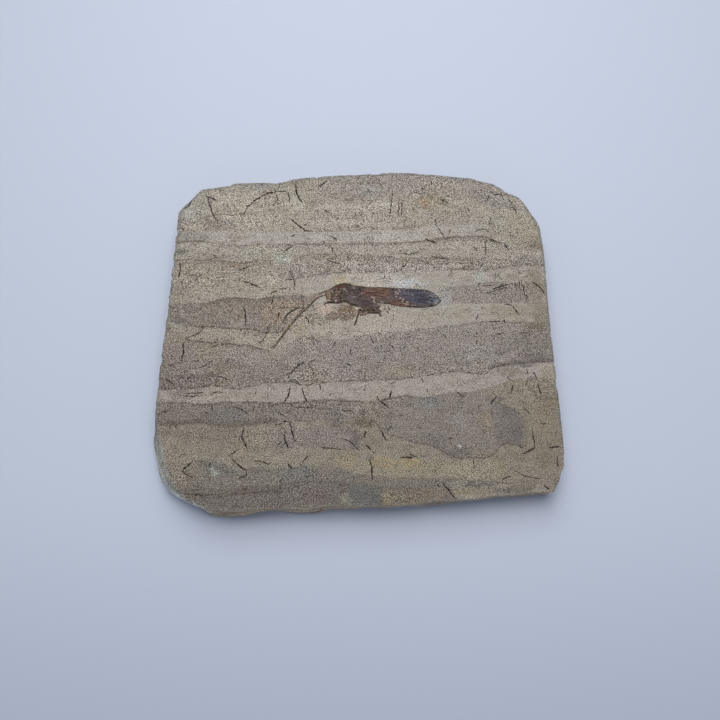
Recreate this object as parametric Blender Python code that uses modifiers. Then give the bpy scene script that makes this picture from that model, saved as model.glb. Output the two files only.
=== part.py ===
# A thin slab of banded stone, split along its bedding, which lies flat and
# shows one winged insect pressed into its upper face.
#
# Metres, +Z up. The slab rests on z = 0, with the origin under its middle.
# X runs along its longer side, and the insect's folded wings point to +X.
# Sizes below are in millimetres. Outlines and routes are seen from above, and
# measured from a zero point on the upper face.

import math
import random

import bmesh
import bpy
import numpy as np

MM = 0.001
WELD = 0.001
SHARP_ANGLE = math.radians(50)

# The zero point of the outlines and routes, from the middle of the slab.
FACE_ZERO = (0.3, -0.52)

# The slab: its thickness, and the heights where one bed of stone meets the next.
SLAB_THICKNESS = 8.0
BED_HEIGHTS = (0.0, 1.8, 3.4, 5.2, 6.6, SLAB_THICKNESS)
BED_OVERLAP = 0.2

# The upper face, clockwise from the upper end of the left edge.
UPPER_FACE = (
    (-54.9, 38.6), (-54.0, 40.1), (-51.8, 42.6), (-48.5, 46.9), (-45.0, 47.5),
    (-40.5, 48.2), (-38.0, 49.2), (-32.0, 49.4), (-25.0, 49.4), (-22.5, 49.8),
    (-20.5, 50.6), (-18.0, 51.0), (-12.0, 51.6), (-6.0, 52.1), (0.0, 52.3),
    (10.0, 53.1), (16.0, 53.0), (22.0, 52.5), (29.0, 51.7), (33.0, 51.2),
    (36.0, 51.0), (38.0, 50.0), (42.0, 49.0), (46.0, 46.3), (50.0, 43.9),
    (51.5, 41.6), (53.0, 38.6), (54.9, 35.2), (55.4, 33.5), (55.9, 26.0),
    (55.9, 18.0), (55.7, 10.0), (55.7, 0.0), (56.0, -16.0), (56.2, -32.0),
    (56.1, -38.0), (55.6, -40.2), (54.2, -42.4), (53.2, -44.3), (52.6, -46.7),
    (50.0, -46.6), (40.0, -47.5), (30.0, -48.5), (20.0, -49.3), (10.0, -50.3),
    (4.0, -50.4), (-4.0, -50.2), (-10.0, -50.6), (-20.0, -50.8), (-25.0, -51.2),
    (-30.0, -51.7), (-35.0, -51.8), (-40.0, -51.0), (-45.5, -48.3), (-49.5, -44.8),
    (-51.5, -42.0), (-52.6, -38.5), (-54.6, -31.5), (-55.3, -28.0), (-56.0, -24.0),
    (-55.9, -16.0), (-55.7, -8.0), (-55.3, 8.0), (-55.0, 28.0), (-54.9, 34.0),
)
LONGEST_SIDE = 3.0

# Each lower bed broke off along its own line: how far back it lies on average,
# and the waves in that line, as how many go round the slab and how high each is.
BREAK_SETBACK = 0.15
BREAK_WAVES = ((7, 0.20), (13, 0.18), (24, 0.15), (43, 0.12))
BREAK_SEED = 11
# Where the broken side slants out on its way down: middle, reach and depth of each foot.
FEET = (
    ((-53.0, -36.0), 15.0, 2.75), ((-47.5, -46.5), 6.0, 0.9), ((-38.0, -51.5), 12.0, 1.5),
    ((-14.5, -51.0), 6.5, 1.6), ((19.0, -49.5), 6.0, 0.9),
)
# Along the near edge, from this line on, the side slants in under the upper face instead.
UNDERCUT = 0.5
UNDERCUT_LINE = -44.0
UNDERCUT_FADE = 3.0

# The insect: how deep its imprint goes, the gap round it, and the heights of its forms.
FIT_GAP = 0.3
IMPRINT_FLOOR = SLAB_THICKNESS - 0.8
INSECT_FLOOR = IMPRINT_FLOOR + FIT_GAP
BODY_TOP = SLAB_THICKNESS + 0.32
WING_TOP = SLAB_THICKNESS + 0.28
ABDOMEN_TOP = SLAB_THICKNESS + 0.22
EDGE_ROUND = 0.16

# Head and thorax seen from the side, from the face up over the back.
BODY = (
    (-9.6, 11.9), (-8.5, 12.8), (-7.2, 13.5), (-6.2, 14.2), (-5.0, 14.6),
    (-3.6, 14.8), (-2.4, 14.5), (-1.0, 14.1), (1.2, 13.8), (3.0, 13.3),
    (4.2, 11.0), (3.2, 8.0), (1.6, 6.9), (0.3, 7.1), (-1.2, 7.5),
    (-2.4, 8.0), (-3.6, 8.7), (-5.6, 8.1), (-8.6, 8.3), (-9.1, 9.6),
)
# The two forewings, folded flat on each other, out to their tip.
WINGS = (
    (0.0, 13.9), (2.6, 13.5), (8.0, 13.4), (11.0, 13.2), (14.5, 13.1),
    (17.0, 12.8), (20.0, 12.7), (21.4, 12.2), (22.8, 11.3), (23.8, 10.3),
    (24.6, 9.2), (24.2, 8.5), (23.2, 7.7), (21.8, 7.15), (20.0, 6.9),
    (17.0, 6.85), (14.0, 7.1), (11.0, 7.4), (9.4, 8.0), (6.0, 8.2),
    (0.5, 8.4),
)
# The crumpled end of the abdomen and the hind thigh, below the wings.
ABDOMEN = (
    (1.6, 8.8), (7.4, 8.8), (7.0, 7.5), (6.2, 6.6), (7.2, 5.6),
    (5.8, 5.0), (3.2, 5.0), (2.2, 4.5), (1.0, 4.2), (0.5, 4.9),
    (0.2, 6.0), (1.0, 6.7),
)
# Domes on the body: middle, and half of the length, width and height.
DOMES = {
    "head": ((-6.9, 10.9, BODY_TOP - 0.1), (2.1, 2.2, 0.3)),
    "thorax": ((-2.2, 11.1, BODY_TOP - 0.1), (3.4, 2.8, 0.36)),
}
# Limbs: points of each route with its half width there, free end last.
LIMBS = {
    "antenna": (
        (-8.8, 11.0, 0.20), (-10.4, 10.7, 0.20), (-11.8, 9.9, 0.22), (-13.2, 8.5, 0.26),
        (-14.6, 7.0, 0.34), (-16.0, 5.7, 0.42), (-17.2, 4.3, 0.42), (-18.2, 2.9, 0.36),
        (-19.4, 1.2, 0.34), (-20.6, -0.5, 0.36), (-21.6, -2.1, 0.34), (-22.8, -3.9, 0.26),
        (-24.2, -6.1, 0.16),
    ),
    "antenna_fork": (
        (-15.2, 6.5, 0.24), (-16.6, 6.9, 0.24), (-17.9, 6.5, 0.24), (-19.2, 5.7, 0.26),
        (-20.3, 4.8, 0.26), (-21.0, 3.6, 0.22), (-21.8, 2.0, 0.18),
    ),
    "antenna_stump": ((-8.6, 12.4, 0.22), (-9.9, 12.0, 0.22), (-11.4, 11.1, 0.16)),
    "mouthparts": ((-7.0, 8.6, 0.28), (-8.6, 8.5, 0.28), (-9.4, 8.3, 0.24), (-9.6, 7.6, 0.16)),
    "front_leg": (
        (0.6, 6.6, 0.26), (0.3, 5.2, 0.24), (-0.1, 3.6, 0.24), (-0.4, 2.5, 0.28),
        (-0.9, 1.2, 0.16),
    ),
    "hind_leg": ((5.4, 5.7, 0.24), (6.2, 4.9, 0.20), (6.9, 4.0, 0.16)),
}
# Veins that stand up from the wings, from their base to near their tip.
VEINS = {
    "upper_vein": ((1.0, 13.3, 0.14), (8.0, 12.9, 0.14), (15.0, 12.5, 0.12), (20.6, 11.9, 0.08)),
    "middle_vein": ((0.5, 11.2, 0.14), (7.0, 10.9, 0.14), (14.0, 10.3, 0.12), (21.5, 9.6, 0.08)),
    "lower_vein": ((9.8, 8.2, 0.14), (13.0, 7.6, 0.14), (17.0, 7.3, 0.14), (21.4, 7.6, 0.10)),
}


def clear_scene():
    for obj in list(bpy.data.objects):
        bpy.data.objects.remove(obj, do_unlink=True)


def new_collection(name):
    collection = bpy.data.collections.new(name)
    bpy.context.scene.collection.children.link(collection)
    return collection


def finish(name, colour, roughness):
    """A matt surface of one colour (linear red, green and blue)."""
    material = bpy.data.materials.new(name)
    material.use_nodes = True
    shader = material.node_tree.nodes["Principled BSDF"]
    shader.inputs["Base Color"].default_value = (*colour, 1.0)
    shader.inputs["Roughness"].default_value = roughness
    shader.inputs["Metallic"].default_value = 0.0
    return material


def refined(outline):
    """The closed outline with points added until no side is longer than LONGEST_SIDE."""
    points = []
    for start, end in zip(outline, outline[1:] + outline[:1]):
        steps = math.ceil(math.dist(start, end) / LONGEST_SIDE)
        points += [np.add(start, np.subtract(end, start) * i / steps) for i in range(steps)]
    return np.array(points)


def pushed_out(outline, distance):
    """The clockwise outline with its sides moved out, by one distance or by one for each point."""
    points = np.array(outline)
    ahead = np.roll(points, -1, axis=0) - points
    normals = np.stack((-ahead[:, 1], ahead[:, 0]), axis=1)
    normals /= np.linalg.norm(normals, axis=1)[:, None]
    before = np.roll(normals, 1, axis=0)
    squareness = 1 + (normals * before).sum(axis=1)
    mitres = (normals + before) / np.maximum(squareness, 0.6)[:, None]
    return points + mitres * np.reshape(distance, (-1, 1))


def placed(name, mesh, middle):
    """An object for the mesh, its middle measured from the zero point and the underside."""
    mesh.shade_smooth()
    mesh.set_sharp_from_angle(angle=SHARP_ANGLE)
    obj = bpy.data.objects.new(name, mesh)
    obj.location = [(zero + m) * MM for zero, m in zip((*FACE_ZERO, 0), middle)]
    return obj


def as_mesh(name, curve, height):
    """The curve as a closed mesh object at one height."""
    drawn = bpy.data.objects.new(name, curve)
    bpy.context.scene.collection.objects.link(drawn)
    graph = bpy.context.evaluated_depsgraph_get()
    mesh = bpy.data.meshes.new_from_object(drawn.evaluated_get(graph))
    bpy.data.objects.remove(drawn)
    welded = bmesh.new()
    welded.from_mesh(mesh)
    bmesh.ops.remove_doubles(welded, verts=welded.verts, dist=WELD * MM)
    welded.to_mesh(mesh)
    welded.free()
    return placed(name, mesh, (0, 0, height))


def plate(name, outline, floor, top):
    """A flat solid of the outline, between two heights."""
    curve = bpy.data.curves.new(name, "CURVE")
    curve.dimensions = "2D"
    curve.fill_mode = "BOTH"
    curve.extrude = (top - floor) / 2 * MM
    spline = curve.splines.new("POLY")
    spline.points.add(len(outline) - 1)
    for point, (x, y) in zip(spline.points, outline):
        point.co = (x * MM, y * MM, 0, 1)
    spline.use_cyclic_u = True
    return as_mesh(name, curve, (floor + top) / 2)


def strand(name, route, height, thicker=0.0):
    """A round strand along the route, its middle at one height; a thicker one is longer as well."""
    curve = bpy.data.curves.new(name, "CURVE")
    curve.dimensions = "3D"
    curve.bevel_depth = MM
    curve.bevel_resolution = 2
    curve.use_fill_caps = True
    spline = curve.splines.new("POLY")
    spline.points.add(len(route) - 1)
    before, end = np.array(route[-2][:2]), np.array(route[-1][:2])
    longer = thicker * (end - before) / np.linalg.norm(end - before)
    places = [np.array(point[:2]) for point in route[:-1]] + [end + longer]
    for point, place, (_, _, half_width) in zip(spline.points, places, route):
        point.co = (*(place * MM), 0, 1)
        point.radius = half_width + thicker
    return as_mesh(name, curve, height)


def dome(name, middle, half_sizes):
    ball = bmesh.new()
    bmesh.ops.create_uvsphere(ball, u_segments=24, v_segments=10, radius=1.0)
    bmesh.ops.scale(ball, vec=[half * MM for half in half_sizes], verts=ball.verts)
    mesh = bpy.data.meshes.new(name)
    ball.to_mesh(mesh)
    ball.free()
    return placed(name, mesh, middle)


def round_edges(obj, width):
    bevel = obj.modifiers.new("rounded edges", "BEVEL")
    bevel.width = width * MM
    bevel.segments = 2
    bevel.limit_method = "ANGLE"
    bevel.angle_limit = SHARP_ANGLE


def combine(obj, name, others, operation):
    """Joins the other solids to the object, or cuts them out, and keeps them as hidden helpers."""
    helpers = new_collection(name)
    helpers.hide_render = True
    for other in others:
        helpers.objects.link(other)
        other.hide_render = True
        other.display_type = "WIRE"
    boolean = obj.modifiers.new(name, "BOOLEAN")
    boolean.operation = operation
    boolean.solver = "EXACT"
    boolean.operand_type = "COLLECTION"
    boolean.collection = helpers


def bed_outline(face, floor, top):
    """Where one bed of stone ends: the upper face's outline, moved by its break, a foot or the undercut."""
    if top == SLAB_THICKNESS:
        return face
    depth_share = 1 - (floor + top) / 2 / SLAB_THICKNESS
    share_round = np.arange(len(face)) / len(face)
    out = np.full(len(face), -BREAK_SETBACK)
    for count, height in BREAK_WAVES:
        out += height * np.sin(2 * math.pi * (count * share_round + random.random()))
    for middle, reach, depth in FEET:
        nearness = 1 - (np.linalg.norm(face - middle, axis=1) / reach) ** 2
        out += depth * math.sqrt(depth_share) * np.clip(nearness, 0, 1)
    near_share = np.clip((UNDERCUT_LINE - face[:, 1]) / UNDERCUT_FADE, 0, 1)
    return pushed_out(face, out - UNDERCUT * depth_share * near_share)


def imprint_cutters():
    """The insect's forms, a gap wider all round, from the imprint's floor to above the slab."""
    above = SLAB_THICKNESS + 1.0
    for name, outline in (("body", BODY), ("wings", WINGS), ("abdomen", ABDOMEN)):
        yield plate(f"imprint_{name}", pushed_out(outline, FIT_GAP), IMPRINT_FLOOR, above)
    for name, route in LIMBS.items():
        yield strand(f"imprint_{name}", route, SLAB_THICKNESS, FIT_GAP)


def stone_slab():
    random.seed(BREAK_SEED)
    face = refined(UPPER_FACE)
    beds = []
    for i, (floor, top) in enumerate(zip(BED_HEIGHTS, BED_HEIGHTS[1:])):
        overlap = 0.0 if top == SLAB_THICKNESS else BED_OVERLAP
        beds.append(plate(f"bed_{i}", bed_outline(face, floor, top), floor, top + overlap))
    slab = beds.pop()
    slab.name = "stone_slab"
    combine(slab, "lower beds", beds, "UNION")
    combine(slab, "imprint cutters", imprint_cutters(), "DIFFERENCE")
    slab.data.materials.append(finish("banded stone", (0.25, 0.22, 0.18), 0.85))
    return slab


def fossil_insect():
    insect = plate("fossil_insect", BODY, INSECT_FLOOR, BODY_TOP)
    wings = plate("wings", WINGS, INSECT_FLOOR, WING_TOP)
    abdomen = plate("abdomen", ABDOMEN, INSECT_FLOOR, ABDOMEN_TOP)
    for form in (insect, wings, abdomen):
        round_edges(form, EDGE_ROUND)
    forms = [wings, abdomen]
    forms += [dome(name, *shape) for name, shape in DOMES.items()]
    forms += [strand(name, route, SLAB_THICKNESS) for name, route in LIMBS.items()]
    forms += [strand(name, route, WING_TOP) for name, route in VEINS.items()]
    combine(insect, "insect forms", forms, "UNION")
    insect.data.materials.append(finish("carbonised insect", (0.055, 0.042, 0.038), 0.6))
    return insect


def main():
    clear_scene()
    parts = new_collection("fossil insect slab")
    parts.objects.link(stone_slab())
    parts.objects.link(fossil_insect())


main()
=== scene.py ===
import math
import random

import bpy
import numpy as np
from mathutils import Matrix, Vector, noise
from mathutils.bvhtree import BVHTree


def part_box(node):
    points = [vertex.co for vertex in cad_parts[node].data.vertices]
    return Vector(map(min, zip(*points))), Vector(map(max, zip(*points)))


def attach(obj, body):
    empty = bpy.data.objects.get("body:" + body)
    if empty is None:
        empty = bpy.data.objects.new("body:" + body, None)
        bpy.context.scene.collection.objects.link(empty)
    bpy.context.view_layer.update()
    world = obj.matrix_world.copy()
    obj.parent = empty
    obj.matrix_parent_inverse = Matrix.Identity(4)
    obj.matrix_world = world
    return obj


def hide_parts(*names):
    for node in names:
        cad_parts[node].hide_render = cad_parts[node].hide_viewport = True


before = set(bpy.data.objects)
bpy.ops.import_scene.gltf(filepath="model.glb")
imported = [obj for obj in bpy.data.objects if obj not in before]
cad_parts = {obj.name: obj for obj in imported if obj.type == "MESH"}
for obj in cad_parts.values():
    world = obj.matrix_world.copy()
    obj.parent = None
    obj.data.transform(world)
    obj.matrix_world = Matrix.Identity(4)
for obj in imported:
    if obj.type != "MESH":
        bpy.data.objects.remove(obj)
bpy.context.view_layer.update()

# The looks of a fossil insect slab: a split piece of banded stone with one winged
# insect in low relief on its upper face, and short dark plant fragments round it.
#
# The frame is in metres. Sizes below are in millimetres. Outlines, routes and
# markings are seen from above and measured from a zero point on the upper face.

MM = 0.001

# The zero point of the markings, from the middle of the slab.
FACE_ZERO = (0.3, -0.52)
SLAB_FLOOR, SLAB_TOP = (corner.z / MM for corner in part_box("stone_slab"))
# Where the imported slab's outline is read, and how far down the sides the face's stains reach.
OUTLINE_HEIGHT = SLAB_TOP - 0.1
OUTLINE_READINGS = 4000
STAINED_FROM = SLAB_TOP - 0.6

# The camera, as high and as steep as the photograph's.
CAMERA_PLACE = (1.05, -79.89, 200.39)
CAMERA_TILT = math.radians(20)
CAMERA_LENS = 36.1

# The stone's mesh: cells along and across the upper face, and how much coarser the underside is.
CELLS_ALONG = 248
CELLS_ACROSS = 228
UNDERSIDE_STEP = 4
# Where the four sides of the slab meet: upper left, upper right, lower right and lower left.
CORNERS = ((-48.5, 46.9), (50.0, 43.9), (54.2, -43.0), (-50.5, -44.0))
# The rounding of the upper rim, and how many cells in from it the rim's own colours reach.
RIM_ROUND = 0.07
RIM_CELLS = 4
# The thin layers that show in the broken sides, and how far some of them are set back.
LAYER_THICKNESS = (0.35, 0.85)
LAYER_STEP = 0.22
BREAK_GRAIN = 0.07
# Small chips along the rim: how many, their widths and depths, and the seed for them and the layers.
CHIPS = 46
CHIP_WIDTH = (0.8, 3.4)
CHIP_DEPTH = (0.1, 0.45)
STONE_SEED = 5
# The gentle unevenness of the upper face, and the small steps where one bed meets the next.
SWELL = 0.05
ROUGHNESS_HEIGHT = 0.018
BED_STEPS = {"a_low": 0.05, "c_low": 0.06, "i_low": 0.08, "j_low": 0.07}

# The insect's mesh: cell size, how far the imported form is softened, how deep its rim goes under
# the stone's face, how deep its underside lies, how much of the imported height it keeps, and the
# least height of its film.
INSECT_CELL = 0.1
INSECT_SOFTNESS = 0.12
INSECT_SUNK = 0.14
INSECT_DEPTH = 0.45
INSECT_FLATNESS = 0.62
FILM_THICKNESS = 0.03

# Colours as seen on screen, beside those of the beds, the stains and the insect's lines.
COLOURS = {
    "face": (152, 145, 134), "crust": (78, 67, 59), "wrinkle": (84, 75, 66),
    "dark layer": (124, 120, 111), "pale layer": (172, 168, 158), "brown layer": (148, 140, 126),
    "broken corner": (200, 199, 191), "worn rim": (146, 143, 134), "bevel": (143, 143, 139),
    "grey rim": (103, 105, 105), "olive": (150, 143, 118), "crystal": (190, 184, 174), "speck": (72, 62, 54),
    "film": (84, 72, 68), "film crumb": (160, 144, 132), "film rim": (50, 38, 31),
    "flaked": (172, 156, 148), "grain": (30, 24, 22),
    "fragment": (27, 20, 15), "brown fragment": (62, 49, 39), "faded fragment": (118, 108, 98),
    # The floor's darker colour towards the near side is painted shade.
    "floor": (196, 204, 221), "shaded near floor": (181, 189, 208),
}
# What the sides' colour is multiplied by at the near side, a painted light that makes that dimly lit side
# brighter and warmer, and at the left and the right, a painted shade that makes those sides darker and bluer.
NEAR_PAINTED_LIGHT = (1.4, 1.22, 1.02, 1.0)
BESIDE_PAINTED_SHADE = (0.7, 0.75, 0.8, 1.0)
# How strong the stone's grain is where no bed is laid.
FACE_GRAIN = 0.7
# How far the edges of the beds run to each side of the zero point.
EDGE_REACH = 60.0

# Where one bed's colour ends on the upper face, from the left side to the right.
EDGES = {
    "strip": ((-58, 46), (-16, 46), (-8, 44.5), (0, 43.2), (8, 43.6), (14, 44), (22, 46), (34, 45),
        (58, 44)),
    "a_top": ((-58, 31.4), (-45, 32), (-40, 32.3), (-30, 32), (-14, 32), (2, 32.5), (14, 33), (23, 34.2),
        (32, 35.4), (42, 37), (58, 38)),
    "a_low": ((-58, 28.2), (-44, 28.5), (-38, 27.6), (-28, 27.8), (-10, 28.1), (10, 28.3), (16, 28.7),
        (22, 29.4), (28, 30.2), (36, 30.5), (40, 30.2), (42, 28.9), (46, 27), (49, 25.6), (58, 25)),
    "b_low": ((-58, 22.3), (-42, 22.3), (-34, 21.6), (-26, 23.5), (-10, 25.5), (6, 25), (20, 26.6),
        (34, 27.4), (44, 26.4), (58, 24)),
    "c_top": ((-58, 22.3), (-30, 22.2), (-22, 22.8), (-18, 24), (-12, 24.5), (-4, 24.4), (4, 24),
        (12, 23.4), (40, 23.4), (46, 22.6), (58, 22.2)),
    "c_low": ((-58, 14.5), (-36, 15.5), (-20, 16), (-10, 17.4), (-4, 18), (10, 18.3), (20, 18.6),
        (28, 19.1), (40, 19.1), (44, 19.9), (58, 20.2)),
    "e_top": ((-58, 13.6), (26, 13.7), (32, 13.9), (36, 14.6), (48, 14.9), (52, 15.6), (58, 15.6)),
    "e_low": ((-58, 8.4), (26, 8.5), (40, 8.2), (50, 8.1), (58, 8)),
    "g_top": ((-58, 8), (-50, 8.2), (-44, 8.5), (-40, 9.5), (-37, 10.2), (-30, 9.8), (-25, 10.3), (-20, 11),
        (-14, 10.5), (58, 10.5)),
    "g_low": ((-58, 4), (-53, 3.9), (-51, 3.4), (-49, 2.2), (-48, 1.3), (-44, 1.1), (-38, 0.5), (-35, 0.1),
        (-30, 0), (-28, -0.8), (-24, -1), (-20, -0.4), (58, 0)),
    "h_low": ((-58, -2.8), (-49, -3.2), (-44, -3.8), (-38, -4.4), (-30, -5.2), (-25, -6.7), (-20, -8),
        (58, -8)),
    "i_top": ((-58, -3), (-24, -6), (-20, -4.5), (-17, -3), (-12, -2.7), (-4, -2.9), (4, -1.2), (12, -0.5),
        (20, 0.6), (28, 1.3), (33, 2.2), (36, 2.5), (45, 2.5), (58, 1.9)),
    "i_low": ((-58, -18.2), (-45, -17.8), (-40, -17.2), (-34, -18), (-25, -16.5), (-10, -16), (5, -15.6),
        (15, -14.8), (22, -13.8), (27, -13), (33, -13.4), (36, -13.8), (37.5, -12.3), (40, -11.4),
        (50, -10.3), (58, -10)),
    "j_low": ((-58, -21.5), (-50, -21.8), (-45, -22.2), (-42, -22.3), (-38, -21.7), (-20, -21.9),
        (-14, -21.4), (-10, -21), (5, -21.4), (8, -20.8), (12, -20), (20, -20.1), (26, -19.2), (35, -18.2),
        (38, -17), (42, -15.8), (50, -14.5), (58, -14.8)),
    "k_low": ((-58, -28), (-50, -28.3), (-45, -27.8), (-35, -28.7), (-25, -27.7), (-12, -27), (0, -27),
        (5, -28), (8, -30.5), (12, -32), (16, -33.4), (20, -34), (23, -35.6), (26, -37.2), (31, -37.4),
        (35, -37.2), (37.6, -36), (39.4, -33.8), (42, -33.6), (44.5, -34.2), (46.4, -32.6), (47.3, -30.4),
        (48, -29.2), (58, -29)),
    "lobe_top": ((-58, -21), (-10, -21), (5, -21.4), (8, -20.8), (12, -20), (20, -20.1), (26, -19.2),
        (33, -19), (36, -20), (39, -21.9), (41, -23), (43.5, -24), (45.5, -25.6), (46.8, -27.6),
        (47.3, -29.4), (58, -29.4)),
    "n_top": ((-58, 36.3), (-50, 36.5), (-46, 37), (-44, 37.8), (-38, 37.9), (-30, 38.4), (-17, 39.2),
        (-8, 39.6), (0, 40), (10, 40.3), (16, 40), (58, 40.5)),
    "n_low": ((-58, 33), (-30, 33.6), (-17, 36.2), (-8, 36), (0, 35.8), (8, 35.4), (16, 36), (58, 36)),
    "q_top": ((-58, -29.5), (-20, -29.5), (-5, -29), (3, -30.5), (58, -31)),
    "q_low": ((-58, -35), (-20, -34.6), (-6, -34.8), (3, -35.2), (58, -35.2)),
    "l_low": ((-58, -38.2), (-48, -38.2), (-44, -37.6), (-36, -39.4), (-28, -40), (-12, -40.2), (-4, -40.9),
        (4, -42.2), (14, -42.5), (30, -43.6), (44, -44.5), (58, -44.5)),
    "m_low": ((-58, -46.5), (-48, -47.2), (-40, -47.4), (-36, -47.9), (-32, -47.2), (-26, -46.7),
        (-20, -46.2), (-12, -45), (-4, -45.2), (4, -46.8), (20, -47), (36, -46.5), (58, -46)),
}

# Beds of colour, in the order they are laid down: upper and lower edge, with a shift up or down where
# there is a number, left and right end with the width each end fades over, how soft the two edges are,
# colour, strength of the grain.
BEDS = (
    (None, "strip", -14, 40, 8, 0.6, 2.0, (141, 133, 126), 1.0),
    ("n_top", "n_low", -54, 16, 4, 0.5, 1.2, (149, 141, 131), 1.0),
    (("a_top", 1.5), "a_top", -20, 2, 4, 0.8, 0.4, (145, 137, 127), 1.0),
    (("a_top", 1.5), "a_top", 10, 22, 2, 0.6, 0.4, (140, 132, 122), 1.0),
    ("a_top", "a_low", -60, 38, 12, 0.5, 0.4, (163, 156, 149), 0.4),
    ("a_low", "b_low", -60, 60, 4, 0.3, 3.0, (151, 144, 135), 0.9),
    (("a_low", -1.2), "c_top", -20, 38, 6, 0.6, 0.4, (153, 146, 137), 0.7),
    ("a_low", ("a_low", -0.9), -42, 21, 5, 0.4, 0.8, (133, 125, 116), 1.1),
    (("a_low", 0.2), ("a_low", -1.6), 22, 44, 3, 0.5, 1.0, (128, 121, 114), 1.2),
    ("b_low", "c_low", -60, -24, 5, 0.4, 2.0, (143, 135, 124), 1.0),
    ("b_low", ("b_low", -1.8), -60, -26, 5, 0.4, 1.6, (130, 121, 110), 1.1),
    ("c_top", "c_low", -24, 60, 6, 0.6, 0.35, (139, 131, 124), 1.1),
    ("c_top", "c_low", 27, 60, 4, 0.5, 0.35, (130, 122, 115), 1.3),
    ("c_top", ("c_top", -2.1), -22, 30, 4, 0.4, 0.9, (129, 121, 113), 1.2),
    ("c_low", "i_top", -22, 60, 10, 0.4, 0.5, (160, 153, 144), 0.35),
    ("c_low", "g_top", -58, -20, 14, 0.4, 0.5, (153, 145, 134), 0.65),
    ("e_top", "e_low", 26, 50.5, 3, 0.8, 0.8, (138, 130, 123), 0.8),
    ("g_top", "g_low", -60, -13, 4, 0.4, 0.4, (126, 117, 109), 0.9),
    ("g_top", ("g_top", -1.3), -46, -21, 4, 0.4, 0.8, (116, 107, 99), 0.9),
    ("g_low", "h_low", -49, -21, 5, 0.4, 0.4, (150, 141, 129), 0.8),
    ("h_low", "i_low", -60, -14, 8, 0.4, 0.35, (131, 122, 115), 0.95),
    (("i_low", 4.1), "i_low", -60, -41, 2, 0.5, 0.35, (116, 107, 102), 0.9),
    ("i_top", "i_low", -20, 60, 7, 0.6, 0.35, (138, 130, 124), 1.0),
    (("i_low", 1.3), "i_low", 38, 60, 3, 0.8, 0.35, (111, 103, 98), 0.9),
    ("i_low", "j_low", -60, 60, 6, 0.35, 0.45, (157, 149, 141), 0.4),
    ("j_low", "l_low", -60, 60, 6, 0.45, 2.5, (137, 129, 117), 0.7),
    ("j_low", "k_low", -60, 2, 6, 0.4, 0.5, (124, 116, 109), 0.85),
    (("k_low", 1.3), ("k_low", -0.4), -60, -22, 4, 0.9, 0.6, (109, 100, 92), 0.9),
    ("q_top", "q_low", -24, 2, 4, 1.4, 0.5, (130, 121, 115), 0.9),
    ("lobe_top", "k_low", 2, 60, 4, 0.35, 0.5, (130, 122, 115), 0.85),
    ("lobe_top", "k_low", 39, 48, 6, 0.35, 0.4, (113, 106, 102), 0.8),
    ("l_low", "m_low", -60, 27, 8, 0.8, 0.6, (120, 113, 105), 0.85),
    (("m_low", 1.7), "m_low", -48, 20, 4, 1.2, 0.4, (106, 98, 92), 0.9),
    ("m_low", None, -60, 27, 8, 0.6, 0.5, (111, 104, 98), 1.0),
    (("m_low", 1.6), None, -2, 6.8, 1.0, 0.6, 0.5, (103, 102, 99), 0.8),
    (("m_low", 1.2), None, 6.8, 13.5, 1.2, 0.6, 0.5, (119, 111, 99), 0.9),
    (("m_low", 1.4), None, 13.5, 21, 1.5, 0.8, 0.5, (119, 109, 98), 0.9),
)

# Thin dark lines that run along the beds: edge, left and right end, shift up, half width, strength.
DARK_LINES = (
    ("a_low", -57, -43, 0.0, 0.26, 0.7), ("a_low", -40, 22, -0.1, 0.22, 0.35),
    ("a_low", 14, 42, -0.1, 0.30, 0.5), ("a_top", 9, 19, 0.3, 0.30, 0.5), ("a_top", -18, 3, 0.1, 0.22, 0.4),
    ("c_top", -17, 11, -0.1, 0.24, 0.35), ("n_top", -56, -33, 0.0, 0.26, 0.7),
    ("n_top", -17, 9, -0.2, 0.22, 0.3), ("strip", -13, 8, -0.2, 0.3, 0.35),
    ("b_low", -57, -28, 0.0, 0.26, 0.6), ("c_top", 20, 29, -0.6, 0.30, 0.45),
    ("c_low", -20, 14, 0.3, 0.28, 0.35), ("c_low", 26, 57, 0.3, 0.34, 0.4),
    ("e_top", 28, 50, 0.0, 0.2, 0.3), ("g_top", -47, -22, -0.2, 0.24, 0.5),
    ("g_top", -22, -16, 0.3, 0.24, 0.4), ("g_low", -57, -20, 0.0, 0.26, 0.7),
    ("h_low", -49, -24, 0.0, 0.30, 0.75), ("i_top", 20, 57, -0.2, 0.26, 0.25),
    ("i_low", -57, -26, 0.1, 0.28, 0.6), ("i_low", -57, -43, 4.1, 0.26, 0.5),
    ("i_low", -26, 18, 0.2, 0.26, 0.45), ("i_low", 18, 57, 0.2, 0.32, 0.7),
    ("j_low", -56, 18, -0.2, 0.26, 0.5), ("lobe_top", 38, 47.4, 0.0, 0.26, 0.5),
    ("k_low", 3, 47.3, 0.0, 0.30, 0.5), ("k_low", -56, -20, 0.2, 0.30, 0.25),
    ("q_low", -12, 3, 0.0, 0.22, 0.45), ("m_low", -50, -18, 0.0, 0.28, 0.7),
    ("l_low", 22, 44, 0.0, 0.28, 0.4),
)

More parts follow.
